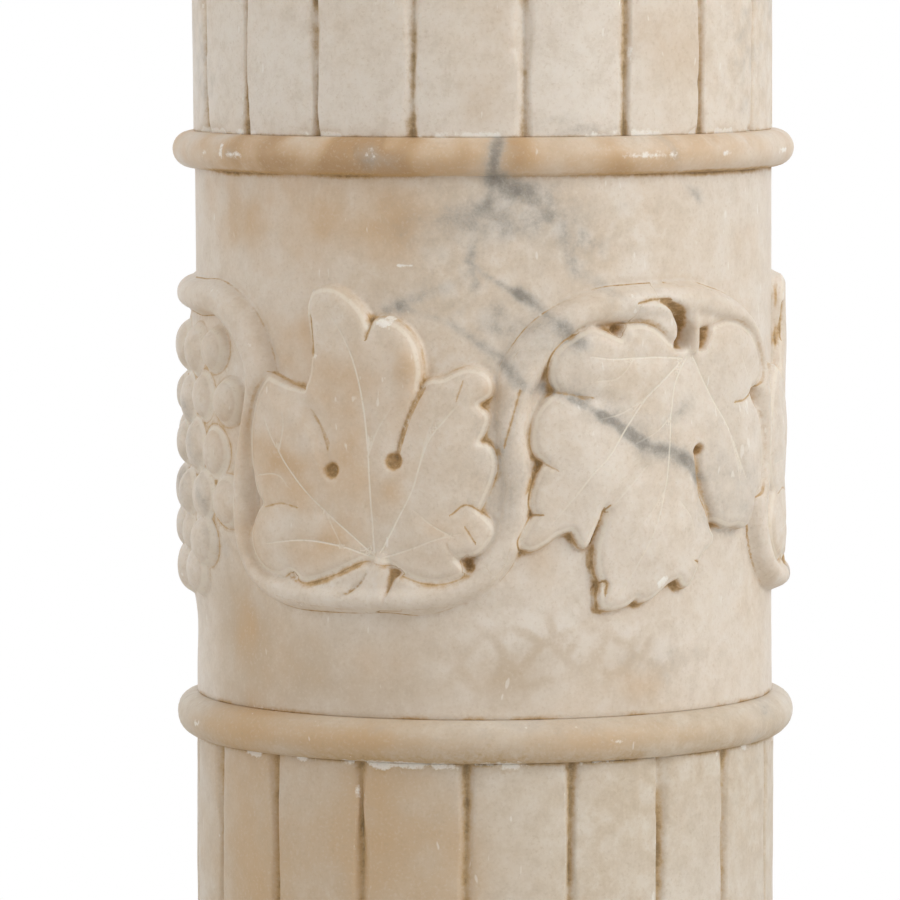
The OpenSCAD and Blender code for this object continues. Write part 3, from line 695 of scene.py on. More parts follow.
def makeDrum():
    # R = ground + carving, less a worn foot; over it a half-round ring with lumps and chips
    skin = makeSkin(drum["height"], drum["step"])
    carving = carveDrum(skin)
    stainDrum(skin, carving)
    ground = drum["groundHeight"]
    front, flank = drum["frontHalf"], drum["flankHalf"]
    low, high = drum["vineZone"]
    arc = spaced((-front, 0), (front, 0.92), (flank, 1.3), (girth - flank, 2.35), (girth - front, 1.3))[:-1]
    z = spaced((0, 0), (0.5, 0.5), (low, 1.8), (high, 0.92), (ground - 0.8, 1.5), (ground, 0.8))
    a, zz = np.meshgrid(arc, z)
    worn = 0.25 * np.clip(1 - zz / 0.5, 0, 1)
    radius = column["ground"] + sample(skin, carving["height"], a, zz) - worn
    ringR, ringZ = halfRound(column["radius"], ground, column["upperRing"], column["ringOut"],
                             drum["ringSteps"])
    ringA = np.broadcast_to(arc, (len(ringR), len(arc)))
    lump = 0.22 * cloudAt(skin, 7, 21, ringA, ringZ[:, None])
    ringRadius = ringR[:, None] + lump * np.clip((ringR[:, None] - column["radius"]) / 3, 0, 1)
    chips = cloudAt(skin, 2.2, 22, ringA, ringZ[:, None])
    ringRadius = ringRadius - 1.1 * smoothStep(1.9, 2.8, chips) * (ringR[:, None] > column["radius"] + 2)
    rows = np.concatenate([radius, ringRadius, np.full((1, len(arc)), column["radius"] - 5)])
    heights = np.concatenate([z, ringZ, [drum["height"]]])
    aa = np.broadcast_to(arc, rows.shape)
    hh = np.broadcast_to(heights[:, None], rows.shape)
    fields = {label: sample(skin, values, aa, hh) for label, values in carving.items() if label != "height"}
    # soil lies in dashes along the foot; under the ring a line of painted shade, mixed with soil, darkens the
    # corner
    shadeLineAndDashes = np.exp(-((hh - ground) / 1.1) ** 2) * (0.75 + 0.3 * cloudAt(skin, 8, 23, aa, hh))
    dashes = np.clip(0.45 + 0.45 * cloudAt(skin, 4, 25, aa, hh), 0, 0.9)
    shadeLineAndDashes = np.maximum(shadeLineAndDashes, dashes * np.exp(-(hh / 0.7) ** 2))
    fields["dirtAndShade"] = np.clip(np.maximum(fields["dirtAndShade"], shadeLineAndDashes), 0, 1)
    # the foot is chipped, and the ring is pale in streaks along its outermost line, partly rubbed and partly
    # a painted highlight
    chipped = np.clip(0.3 + 0.2 * cloudAt(skin, 9, 24, aa, hh), 0, 1)
    chipped = chipped * np.exp(-(((hh - 1.2) / 1.2) ** 2))
    rubAndHighlight = smoothStep(0.2, 1.4, cloudAt(skin, 4, 26, aa, hh))
    rubAndHighlight = 0.62 * rubAndHighlight * np.exp(-(((hh - ground - column["upperRing"] / 2) / 2.2) ** 2))
    fields["bruiseAndHighlight"] = np.maximum(fields["bruiseAndHighlight"], np.maximum(chipped, rubAndHighlight))
    return makeSurface("carvedDrum", aa / column["radius"], rows, hh + drum["foot"], fields)


reeding = {
    "staves": 18,
    "grooveHalf": 2.3,
    "grooveDeep": 2.3,  # less than it was cut, as soil fills it
    "lopsided": 0.35,  # how much wider one side of a groove can be
    "stray": 1.1,  # how far a hand-cut groove strays from its place, in degrees
    "crown": 0.35,  # how far a stave swells in its middle
    # stations across half a stave, from the groove's middle line
    "stations": [0, 0.6, 1.2, 1.8, 2.4, 3.1, 4.2, 6.2, 9.2, 13.2],
    "ringSteps": 15,
    "bed": 6,  # how far the flat foot and head reach in from the staves
    "step": 0.8,
}

# firstGroove is in degrees to the right of the front; honey and dusk are the stain all over and how much
# of a stain is also darkened, a darkening that is partly painted shade, on the shafts' left and lower
# parts and their rings, and partly darker stone; patches are (a, z, half width, half height, tilt, strength)
shafts = {
    "lower_shaft": {
        "name": "lowerShaft", "firstGroove": -4.6, "fineFoot": False, "seed": 40,
        "ring": column["lowerRing"], "ringOut": column["ringOut"],
        "honey": 0.06, "shadeAndTone": 1.1,
        "patches": [(-90, 210, 60, 130, 0, 0.7), (-40, 230, 46, 90, 0, 0.66), (0, 235, 40, 60, 0, 0.24),
                    (-60, 277, 90, 9, 0, 0.75), (60, 277, 80, 9, 0, 0.55), (20, 90, 60, 80, 0, 0.4),
                    (230, 150, 80, 160, 0, 0.45), (-260, 270, 90, 20, 0, 0.6)]},
    "upper_shaft": {
        "name": "upperShaft", "firstGroove": 7.1, "fineFoot": True, "seed": 60,
        "ring": column["neckRing"], "ringOut": boxOf("upper_shaft")[1][0] - column["radius"],
        "honey": 0.08, "shadeAndTone": 1.0,
        "patches": [(-60, 200, 30, 90, 0, 0.3), (0, 30, 18, 40, 0, 0.3), (74, 30, 28, 40, 0, 0.32),
                    (200, 100, 60, 130, 0, 0.35), (20, 275, 120, 12, 0, 0.4)]},
}


def layStaves(shaft, skin, staveTop):
    # the staves' grid: each row has the same stations between one groove and the next, and follows the
    # grooves as they drift. R = radius - groove - fall from the crown + wave - chips, where a groove's
    # depth goes with (1 - off / width)^0.85. off is the distance from the nearest groove's middle line
    if shaft["fineFoot"]:
        z = spaced((0, 0), (3, 0.6), (56, 1.2), (staveTop - 12, 4.5), (staveTop - 1.2, 1.6), (staveTop, 1.2))
    else:
        z = spaced((0, 0), (3, 0.8), (12, 1.6), (staveTop - 56, 4.5), (staveTop - 3, 1.2), (staveTop, 0.6))
    noise = lambda size, n, a, z: cloudAt(skin, size, shaft["seed"] + n, a, z)
    count = reeding["staves"]
    even = 360 * np.arange(count + 1) / count
    stray = reeding["stray"] * np.sin(np.radians(3 * even + 36))
    groove = np.radians(even + shaft["firstGroove"] + stray) * column["radius"]
    centre = groove[None, :] + noise(22, 0, groove[None, :], z[:, None]) * 0.55  # rows x grooves
    half = girth / count / 2
    share = np.array(reeding["stations"]) / (2 * half)
    share = np.concatenate([share, [0.5], 1 - share[:0:-1]])
    arc = centre[:, :-1, None] + share[None, None, :] * (centre[:, 1:, None] - centre[:, :-1, None])
    across = share * 2 * half
    off = np.minimum(across, 2 * half - across)[None, None, :]
    zz = np.broadcast_to(z[:, None, None], arc.shape)
    # a groove wavers, widens towards its end in view and leans to one side
    wide = reeding["grooveHalf"] * (1 + 0.22 * noise(7, 1, arc, zz))
    wide = wide + 0.8 * np.exp(-((z if shaft["fineFoot"] else staveTop - z) / 6.0) ** 2)[:, None, None]
    lean = reeding["lopsided"] * np.random.default_rng(shaft["seed"]).uniform(-1, 1, count + 1)
    lean[-1] = lean[0]
    lean = np.where((share < 0.5)[None, None, :], lean[None, :-1, None], -lean[None, 1:, None])
    wide = wide * (1 + lean)
    deep = reeding["grooveDeep"] * np.clip(1 - off / wide, 0, 1) ** 0.85
    deep = deep * (1 + 0.12 * noise(9, 2, arc, zz)) + 0.25 * np.exp(-((off / 4.5) ** 2))
    fall = reeding["crown"] * ((half - off) / half) ** 2  # a stave is highest in its middle
    wave = 0.18 * noise(24, 3, arc, zz) + 0.05 * noise(4, 4, arc, zz)
    # the stone is chipped at a stave's ends, and now and then along its arris
    loose = noise(2.6, 5, arc, zz) + 0.5 * noise(9, 6, arc, zz)
    chip = smoothStep(0.9, 1.8, loose) * np.exp(-((np.minimum(zz, staveTop - zz) / 2.4) ** 2))
    arris = smoothStep(1.5, 2.3, loose) * np.exp(-(((off - wide) / 1.3) ** 2))
    radius = column["radius"] - deep - fall + wave - chip - 0.5 * arris
    staves = {"arc": arc, "z": zz, "off": off, "wide": wide, "radius": radius, "chip": chip,
              "worn": chip + 0.6 * arris}
    return {label: np.broadcast_to(values, arc.shape).reshape(len(z), -1) for label, values in staves.items()}


def weatherShaft(shaft, skin, staveTop, arc, z, off, wide, worn):
    # soil lies in the grooves, thickest at their ends in view, and in the corner under the ring. At the
    # ring it is painted shade as well as soil: the corner line, the smear on the staves under the ring,
    # the ring's darker lower part, and on the lower shaft the grooves' thickening under the ring. The
    # arrises are painted paler, the joint is rubbed pale, and the pale streaks along the ring's outermost
    # line are partly rubbing and partly a painted highlight. Each is a bell exp(-(distance / size)^2)
    noise = lambda size, n: cloudAt(skin, size, shaft["seed"] + n, arc, z)
    lay, fine = noise(6, 9), noise(1.6, 10)
    over = z - staveTop  # height over the ring's foot
    joint = z if shaft["fineFoot"] else over + 1
    nearEnd = np.exp(-((z if shaft["fineFoot"] else over) / 7.0) ** 2) * (over < 0)
    under = smoothStep(-0.2, 1.3, lay + 0.5 * fine) * np.exp(-((over / 6) ** 2)) * (over < 0)
    dirtAndShade = [
        # dirt in the grooves; on the lower shaft nearEnd thickens it under the ring, as painted shadow
        np.exp(-((off / (0.66 * wide)) ** 2)) * (0.62 + 0.18 * lay + 0.1 * fine + 0.35 * nearEnd),
        # line at the ring's foot: painted shade in the corner, and soil
        np.exp(-((over / 1.3) ** 2)) * (0.75 + 0.25 * lay),
        # smear on the staves under the ring: painted shadow, and soil
        0.65 * under,
        # the ring's lower part darkened: painted shade, and soil
        0.42 * np.exp(-((over / 5.5) ** 2)) * (over > 0) * (1 + 0.3 * lay),
        0.5 * np.exp(-(z / 0.9) ** 2) * shaft["fineFoot"],
    ]
    dabs = 0.22 + 0.6 * smoothStep(-0.2, 1.4, lay + 0.6 * fine)
    # the pale streaks on the ring are partly rubbing and partly a painted highlight
    rubAndHighlightStreaks = 0.62 * smoothStep(0.2, 1.4, noise(4, 15))
    bruiseAndHighlight = [
        worn,
        # the arrises beside each groove, painted paler
        np.clip(0.22 + 0.15 * lay, 0, 0.5) * np.exp(-(((off - wide - 0.3) / 0.8) ** 2)),
        np.exp(-((joint / 2.8) ** 2)) * dabs * (off > 2),
        rubAndHighlightStreaks * np.exp(-(((over - shaft["ring"] / 2) / 2.2) ** 2)),
    ]
    honey = np.maximum(shaft["honey"], patchwork(skin, shaft["patches"]))
    seed = shaft["seed"]
    honey = honey * (1 + 0.08 * cloud(skin, 26, seed + 12) + 0.1 * cloud(skin, 7, seed + 14))
    honey = sample(skin, honey, arc, z)
    return {
        "dirtAndShade": np.clip(np.max(dirtAndShade, axis=0), 0, 1),
        "bruiseAndHighlight": np.clip(np.max(bruiseAndHighlight, axis=0), 0, 1),
        "honey": np.clip(honey, 0, 1),
        "shadeAndTone": np.clip(shaft["shadeAndTone"] * honey, 0, 1),
        "grey": 0.38 * smoothStep(0.9, 2.2, noise(16, 13) + 0.25 * fine),
    }


def makeShaft(block):
    # staves between V-grooves, with one half-round ring on top that has lumps and chips
    shaft = shafts[block]
    low, high = boxOf(block)
    height = high[2] - low[2]
    staveTop = height - shaft["ring"]
    skin = makeSkin(height, reeding["step"])
    staves = layStaves(shaft, skin, staveTop)
    level = np.ones((1, staves["arc"].shape[1]))
    ringR, ringZ = halfRound(column["radius"] - 0.5, staveTop, shaft["ring"], shaft["ringOut"] + 0.5,
                             reeding["ringSteps"])
    ringR, ringZ = ringR[:, None] * level, ringZ[:, None] * level
    ringArc = np.broadcast_to(staves["arc"][-1], ringR.shape)
    over = ringR - column["radius"]
    lump = 0.22 * cloudAt(skin, 7, shaft["seed"] + 7, ringArc, ringZ) * np.clip(over / 3, 0, 1)
    chip = smoothStep(1.9, 2.7, cloudAt(skin, 2.4, shaft["seed"] + 8, ringArc, ringZ)) * (over > 2)
    inner = (column["radius"] - reeding["bed"]) * level  # a flat foot and head, under the neighbours
    radius = np.concatenate([inner, staves["radius"], ringR + lump - chip, inner])
    arc = np.concatenate([staves["arc"][:1], staves["arc"], ringArc, ringArc[-1:]])
    z = np.concatenate([0 * level, staves["z"], ringZ, height * level])
    off = np.concatenate([staves["off"][:1] + 9, staves["off"], 0 * ringR + 9, staves["off"][-1:] + 9])
    wide = np.concatenate([staves["wide"][:1], staves["wide"], 0 * ringR + 2, 2 * level])
    worn = np.concatenate([staves["chip"][:1], staves["worn"], 0.6 * chip, 0 * level])
    fields = weatherShaft(shaft, skin, staveTop, arc, z, off, wide, worn)
    return makeSurface(shaft["name"], arc / column["radius"], radius, z + low[2], fields)


base = {
    "plinth": 52, "torus": 36, "fillet": 6, "scotia": 18, "smallTorus": 18,  # heights, from the foot
    "torusOut": 34, "smallTorusOut": 13,
}
capital = {"neck": 30, "annulets": 3, "annuletStep": 4, "echinus": 44, "abacus": 52, "echinusOut": 30}
squaring = {"side": 96, "power": 70}  # stations along a side, and how sharp a square's corners are


def squareTurns():
    # turns from the front round a square, with stations crowded towards its corners
    t = np.sin(np.linspace(-1, 1, squaring["side"] + 1)[:-1] * np.pi / 2)
    return np.concatenate([np.arctan(t) + quarter * np.pi / 2 for quarter in range(4)])


def squareReach(turn):
    # distance from the axis to the side of a square of half width 1 with rounded corners:
    # (|sin|^p + |cos|^p)^(-1/p)
    p = squaring["power"]
    return (np.abs(np.sin(turn)) ** p + np.abs(np.cos(turn)) ** p) ** (-1 / p)


def cove(lowR, highR, z, height, steps):
    # quarter hollow: R = high + (low - high)(1 - sin t), z = foot + height (1 - cos t)
    t = np.linspace(0, np.pi / 2, steps)
    return highR + (lowR - highR) * (1 - np.sin(t)), z + height * (1 - np.cos(t))


def slabRows(half, low, high, soft=2.4, steps=5, count=20):
    # upright side of a square slab, its two arrises rounded by quarter circles
    t = np.linspace(0, np.pi / 2, steps)
    sides = np.linspace(low + soft, high - soft, count)
    reach = [half - soft * (1 - np.sin(t)), np.full(count - 2, half), half - soft * (1 - np.cos(t))]
    z = [low + soft * (1 - np.cos(t)), sides[1:-1], high - soft * (1 - np.sin(t))]
    return np.concatenate(reach), np.concatenate(z)


def blendRows(outer, inner, z, steps):
    # flat ring from a square edge to a round one: reach and squareness both go over in even steps
    share = np.linspace(0, 1, steps)
    return outer + (inner - outer) * share, np.full(steps, float(z)), 1 - share, 0.1


def makeTurned(name, block, parts, seed):
    # one block from its profile: R = reach (square * squareReach + 1 - square), less wear and chips.
    # parts are (reach, z, square, crease), where square 1 takes the reach along a square's sides and 0
    # takes it as a radius, and a crease is painted darker in soil colours
    low, high = boxOf(block)
    turn = squareTurns()
    reach = np.concatenate([p[0] for p in parts]).astype(float)[:, None]
    z = np.concatenate([p[1] for p in parts]).astype(float)[:, None]
    flat = np.concatenate([np.full(len(p[1]), np.ptp(p[1]) == 0) for p in parts])[:, None]
    square = np.concatenate([np.broadcast_to(p[2], np.shape(p[1])) for p in parts])[:, None]
    crease = np.concatenate([np.broadcast_to(p[3], np.shape(p[1])) for p in parts])[:, None]
    radius = reach * (square * squareReach(turn) + 1 - square)
    # the noise runs by arc and height round the sides, and by x and y over a flat face
    skin = makeSkin(2 * high[0], 1.0)
    arc = np.where(flat, radius * np.sin(turn), turn * column["radius"])
    zz = np.where(flat, high[0] - radius * np.cos(turn), z)
    noise = lambda size, n: cloudAt(skin, size, seed + n, arc, zz)
    corner = (np.abs(np.abs(np.sin(turn)) - np.abs(np.cos(turn))) < 0.03) * square
    rim = np.abs(np.gradient(reach, axis=0)) * square
    chip = smoothStep(1.2, 2.2, noise(3, 0) + 0.5 * noise(12, 1))
    chip = chip * np.clip(corner + (rim > 0.2) * (rim < 3), 0, 1) * ~flat
    radius = radius + np.minimum(0.2 * noise(20, 2) - 0.2, 0) - 1.2 * chip
    fields = {
        # creases painted darker in soil colours
        "dirtAndShade": np.clip(crease * (0.75 + 0.3 * noise(7, 3)), 0, 1),
        "bruiseAndHighlight": np.clip(0.9 * chip + 0.5 * smoothStep(2.2, 2.9, noise(1.6, 4)), 0, 1),
        "honey": np.clip(0.16 + 0.16 * noise(30, 5), 0, 1),
        "shadeAndTone": np.clip(0.2 + 0.2 * noise(40, 7), 0, 1),
        "grey": 0.5 * smoothStep(0.9, 2.2, noise(18, 6)),
    }
    return makeSurface(name, turn, radius, z + low[2], fields)


def makeBase():
    # from the foot: plinth, torus, fillet, scotia, fillet and a small torus under the shaft
    half = boxOf("base")[1][0]
    z1 = base["plinth"]
    z2 = z1 + base["torus"]
    z3 = z2 + base["fillet"]
    z4 = z3 + base["scotia"]
    z5 = z4 + base["fillet"]
    torusR = column["radius"] + base["torusOut"] - base["torus"] / 2
    smallR = column["radius"] + base["smallTorusOut"] - base["smallTorus"] / 2
    torus = halfRound(torusR, z1, base["torus"], base["torus"] / 2, 22)
    small = halfRound(smallR, z5, base["smallTorus"], base["smallTorus"] / 2, 14)
    hollow = cove(torusR - base["fillet"] / 2, smallR + base["fillet"] / 2, z3, base["scotia"], 12)
    top = z5 + base["smallTorus"]
    parts = [
        ([half - 9, half - 4], [0, 0], 1, 0.3),
        (*slabRows(half, 0, z1), 1, 0.0),
        blendRows(half - 4, torusR + 1, z1, 8),
        (*torus, 0, np.exp(-((torus[1] - z1) / 2.5) ** 2) + np.exp(-((torus[1] - z2) / 1.5) ** 2)),
        ([torusR, torusR - 0.3, torusR - 1], [z2 + 0.4, z3 - 0.6, z3], 0, 0.5),
        (*hollow, 0, 0.25 + 0.5 * np.exp(-((hollow[1] - z3) / 3) ** 2)),
        ([smallR + 3, smallR + 2.7, smallR + 1], [z4 + 0.5, z5 - 0.6, z5], 0, 0.4),
        (*small, 0, np.exp(-((small[1] - z5) / 1.5) ** 2) + np.exp(-((small[1] - top) / 1.2) ** 2)),
        ([smallR - 6], [top], 0, 0.5),
    ]
    return makeTurned("mouldedBase", "base", parts, 80)


def makeCapital():
    # from the foot: neck, annulets, echinus and abacus. The echinus is the curve
    # (1 - s)^2 low + 2 s (1 - s) middle + s^2 high in both radius and height
    half = boxOf("capital")[1][0]
    r = column["radius"]
    rings = capital["annulets"] * capital["annuletStep"]
    z1 = capital["neck"]
    z2 = z1 + rings
    z3 = z2 + capital["echinus"]
    z4 = z3 + capital["abacus"]
    parts = [([r - 6], [0], 0, 0.3), (np.full(14, r), np.linspace(0.2, z1 - 0.3, 14), 0, 0.0)]
    for ring in range(capital["annulets"]):
        out = r + (ring + 1) * capital["annuletStep"] / 2
        foot = z1 + ring * capital["annuletStep"]
        rise = np.array([0, 0.3, 1.6, 3.5])
        parts.append(([out - 1.6, out - 0.3, out, out - 0.1], foot + rise, 0, [0.9, 0.5, 0, 0]))
    lowR, highR = r + rings / 2 + 1, r + capital["echinusOut"]
    s = np.linspace(0, 1, 24)
    echinusR = (1 - s) ** 2 * lowR + 2 * s * (1 - s) * (highR + 2) + s**2 * (highR - 3)
    echinusZ = (1 - s) ** 2 * z2 + 2 * s * (1 - s) * (z2 + 0.6 * capital["echinus"]) + s**2 * z3
    crease = np.exp(-((echinusZ - z2) / 1.5) ** 2) + np.exp(-((echinusZ - z3) / 2) ** 2)
    parts.append((echinusR, echinusZ, 0, crease))
    flat = blendRows(half - 4, highR - 3, z3, 8)
    parts.append((flat[0][::-1], flat[1], flat[2][::-1], 0.15))
    parts.append((*slabRows(half, z3, z4), 1, 0.0))
    parts.append((np.linspace(half - 4, 6, 24), np.full(24, z4), 1, 0.0))
    return makeTurned("doricCapital", "capital", parts, 90)


def linear(hexColour):
    # sRGB hex to linear light
    channel = np.array([int(hexColour[k:k + 2], 16) for k in (1, 3, 5)]) / 255
    light = np.where(channel <= 0.04045, channel / 12.92, ((channel + 0.055) / 1.055) ** 2.4)
    return (*light, 1.0)


def node(tree, kind, inputs=None, out=0, **settings):
    # adds one shader node: settings are its own, inputs give a socket its value or another node's output.
    # Returns the output that the next node needs
    made = tree.nodes.new("ShaderNode" + kind)
    for key, value in settings.items():
        setattr(made, key, value)
    for socket, value in (inputs or {}).items():
        if isinstance(value, bpy.types.NodeSocket):
            tree.links.new(value, made.inputs[socket])
        else:
            made.inputs[socket].default_value = value
    return made.outputs[out] if made.outputs else made


# Honed calcite alabaster, waxy and half see-through near its edges: milky lumps, grey veins, honey
# stains, and ochre dust that has settled wherever a cloth can't reach. The ochre also paints the shade
# under the rings and in corners, the shade tint the shade on lower and left parts, and the pale tints
# some highlights
stone = {
    "cream": "#dccfbf", "milky": "#e5dcd0", "warm": "#d8c2a6", "shade": "#bba68b",
    "honey": "#caa577", "umber": "#9f784b", "ash": "#b7b0a6", "vein": "#767168",
    "soilAndShade": "#b69666", "darkSoilAndShade": "#856f4b", "paleWearAndHighlight": "#f5f1e9", "chalkAndHighlight": "#ebe1d0",
    # sizes in millimetres: of a lump, a milky cloud, a mottle, a cell of the pale web, a crumb of soil and
    # a grain, which is drawn coarser than the stone's own so that it shows, and the width of a scratch
    "lump": 38, "milk": 17, "mottle": 5, "cell": 12, "crumb": 1.4, "grain": 0.6, "scratch": 1.2,
    "rough": 0.46,  # honed, and a little waxy from handling
    "ior": 1.52,
    "depth": 0.2,  # share of the light that enters the stone
    "offset": 0.0,  # metres that the noise is moved, so that blocks differ
}
smooth = {"interpolation_type": "SMOOTHSTEP"}  # of a range that eases in and out


def carvedLines(tree, field, noise):
    # crisp lines: each is where a signed distance lies within half of the line's centre, times shares.
    # Returns the soil and painted shade with their lines, the pale veins, and a pale band 1.3 mm inside
    # a leaf's edge, which is partly rubbing and partly a painted highlight on the rims
    lines = {}
    for label, centre, half, soft in (("leafEdge", -0.4, 0.15, 0.5), ("stemEdge", -0.2, 0.08, 0.3),
                                      ("cutSide", 0, 0.15, 0.45), ("veinSide", 0, 0.14, 0.4)):
        off = node(tree, "Math", {0: field[label], 1: centre}, operation="SUBTRACT")
        off = node(tree, "Math", {0: off}, operation="ABSOLUTE")
        lines[label] = node(tree, "MapRange", {0: off, 1: half + soft, 2: half}, **smooth)
    broken = node(tree, "MapRange", {0: noise["milk"], 1: 0.35, 2: 0.6, 4: 0.75}, **smooth)
    for label, share in (
        ("leafEdge", field["soilAndShade"]),
        ("stemEdge", node(tree, "MapRange", {0: field["leafEdge"], 1: 0.1, 2: -0.6}, **smooth)),
        ("stemEdge", broken),
        ("cutSide", node(tree, "MapRange", {0: field["cutNear"], 1: 1.6, 2: 0.9}, **smooth)),
        ("cutSide", field["cutSoil"]),
        ("veinSide", node(tree, "MapRange", {0: field["veinNear"], 1: 1.4, 2: 0.8}, **smooth)),
        ("veinSide", field["veinShare"]),
        ("veinSide", node(tree, "MapRange", {0: noise["milk"], 1: 0.3, 2: 0.6, 3: 0.55}, **smooth)),
    ):
        lines[label] = node(tree, "Math", {0: lines[label], 1: share}, operation="MULTIPLY")
    soilAndShade = field["dirtAndShade"]
    for label in ("leafEdge", "stemEdge", "cutSide"):
        soilAndShade = node(tree, "Math", {0: soilAndShade, 1: lines[label]}, operation="MAXIMUM")
    # a pale band 1.3 mm inside a leaf's edge: partly rubbing, partly a painted highlight on the rims
    rim = node(tree, "Math", {0: field["leafEdge"], 1: 1.3}, operation="SUBTRACT")
    rim = node(tree, "Math", {0: rim}, operation="ABSOLUTE")
    rim = node(tree, "MapRange", {0: rim, 1: 1.5, 2: 0.2}, **smooth)
    return soilAndShade, lines["veinSide"], rim


def alabaster(name, look, carved=False):
    # the stone's own colour in lumps, then its veins and stains with some painted shade, then soil with
    # painted shade and bruises with painted highlights on top
    material = bpy.data.materials.new(name)
    material.use_nodes = True
    tree = material.node_tree
    tree.nodes.clear()
    where = node(tree, "TexCoord", out="Object")
    fields = ["dirtAndShade", "grey", "honey", "shadeAndTone", "bruiseAndHighlight"]
    if carved:
        fields += ["blobs", "soilAndShade", "cutSoil", "leafEdge", "stemEdge", "cutSide", "cutNear", "veinSide",
                   "veinNear", "veinShare"]
    field = {label: node(tree, "Attribute", attribute_name=label, out="Fac") for label in fields}
    noise = {}
    for label, detail, rough in (("lump", 3, 0.5), ("milk", 4, 0.6), ("mottle", 7, 0.8), ("crumb", 4, 0.7),
                                 ("grain", 2, 0.5), ("scratch", 1, 0.5)):
        # a noise texture has one light and one dark lump in 1 / scale; scratches are drawn out to a third
        size = look[label]
        moved = {"Vector": where, "Location": (look["offset"], size / 10, 0)}
        if label == "scratch":
            moved.update({"Rotation": (0.8, 0.6, 0), "Scale": (1, 1, 0.3)})
        noise[label] = node(tree, "TexNoise", {"Vector": node(tree, "Mapping", moved), "Scale": 500 / size,
                                               "Detail": detail, "Roughness": rough}, out="Fac")
    bend = node(tree, "TexNoise", {"Vector": where, "Scale": 1000 / 30, "Detail": 2.0}, out="Color")
    bend = node(tree, "VectorMath", {0: bend, 3: 0.012}, operation="SCALE")
    bend = node(tree, "VectorMath", {0: where, 1: bend}, operation="ADD")
    cell = node(tree, "TexVoronoi", {"Vector": bend, "Scale": 1000 / look["cell"]},
                feature="DISTANCE_TO_EDGE")
    cell = node(tree, "MapRange", {0: cell, 1: 0.0, 2: 0.3}, **smooth)
    cloudy = node(tree, "MapRange", {0: noise["lump"], 1: 0.45, 2: 0.62, 4: 0.45}, **smooth)
    cloudy = node(tree, "Math", {0: cloudy, 1: field["blobs"]}, operation="MAXIMUM") if carved else cloudy
    web = node(tree, "Math", {0: cell, 1: cloudy}, operation="MULTIPLY")
    between = node(tree, "Math", {0: cloudy, 1: web}, operation="SUBTRACT")

    soilAndShade, veinLine, rim = field["dirtAndShade"], None, None
    if carved:
        soilAndShade, veinLine, rim = carvedLines(tree, field, noise)
    # (share, fray, amount, low, high, top, tint): a layer covers nothing where its share is low and most,
    # its top, where it is high. The share is a field or a noise, frayed by an amount of another noise
    layers = [
        (noise["lump"], None, 0, 0.36, 0.66, 0.45, look["warm"]),
        (noise["milk"], None, 0, 0.42, 0.70, 0.6, look["milky"]),
        (web, None, 0, 0.1, 0.8, 0.7, look["milky"]),
        (between, noise["mottle"], 0.4, 0.1, 1.1, 0.42, look["shade"]),
        (noise["mottle"], None, 0, 0.44, 0.66, look["mottling"], look["shade"]),
        (noise["mottle"], None, 0, 0.50, 0.34, 0.45, look["milky"]),
        # dusk: a darker, greyer tint, partly painted shade on the lower and left parts and partly darker
        # stone
        (field["shadeAndTone"], noise["milk"], 0.8, 0.1, 1.0, 0.85, look["shade"]),
        (field["honey"], noise["milk"], 0.8, 0.1, 1.0, 0.85, look["honey"]),
        (field["honey"], noise["milk"], 0.6, 0.65, 1.15, 0.5, look["umber"]),
        (field["grey"], noise["mottle"], 0.8, 0.0, 0.7, 0.7, look["ash"]),
        (field["grey"], noise["mottle"], 1.8, 0.35, 1.15, 0.72, look["vein"]),
        # leaf rims: partly rubbing, partly a painted highlight
        (rim, noise["milk"], 1.2, 0.3, 1.1, 0.55, look["chalkAndHighlight"]),
        (veinLine, None, 0, 0.0, 1.0, 0.85, look["chalkAndHighlight"]),
        # soil colours: dirt, and painted shade under the rings and in corners
        (soilAndShade, noise["crumb"], 1.0, 0.10, 0.75, 0.8, look["soilAndShade"]),
        (soilAndShade, noise["crumb"], 1.6, 0.55, 1.1, 0.75, look["darkSoilAndShade"]),
        # pale marks: bruises and chips, and painted highlights along the rings
        (field["bruiseAndHighlight"], noise["crumb"], 1.2, 0.42, 0.72, 0.75, look["paleWearAndHighlight"]),
        (noise["grain"], None, 0, 0.46, 0.30, 0.14, look["milky"]),
        (noise["grain"], None, 0, 0.56, 0.74, 0.25, look["shade"]),
        (noise["scratch"], noise["milk"], 0.6, 0.77, 0.82, 0.36, look["paleWearAndHighlight"]),
    ]
    colour = linear(look["cream"])
    for share, fray, amount, low, high, top, tint in layers:
        if share is None:
            continue
        if fray:
            share = node(tree, "Math", {0: fray, 1: amount, 2: share}, operation="MULTIPLY_ADD")
        share = node(tree, "MapRange", {0: share, 1: low + amount / 2, 2: high + amount / 2, 4: top},
                     **smooth)
        colour = node(tree, "Mix", {0: share, 6: colour, 7: linear(tint)}, out=2, data_type="RGBA")

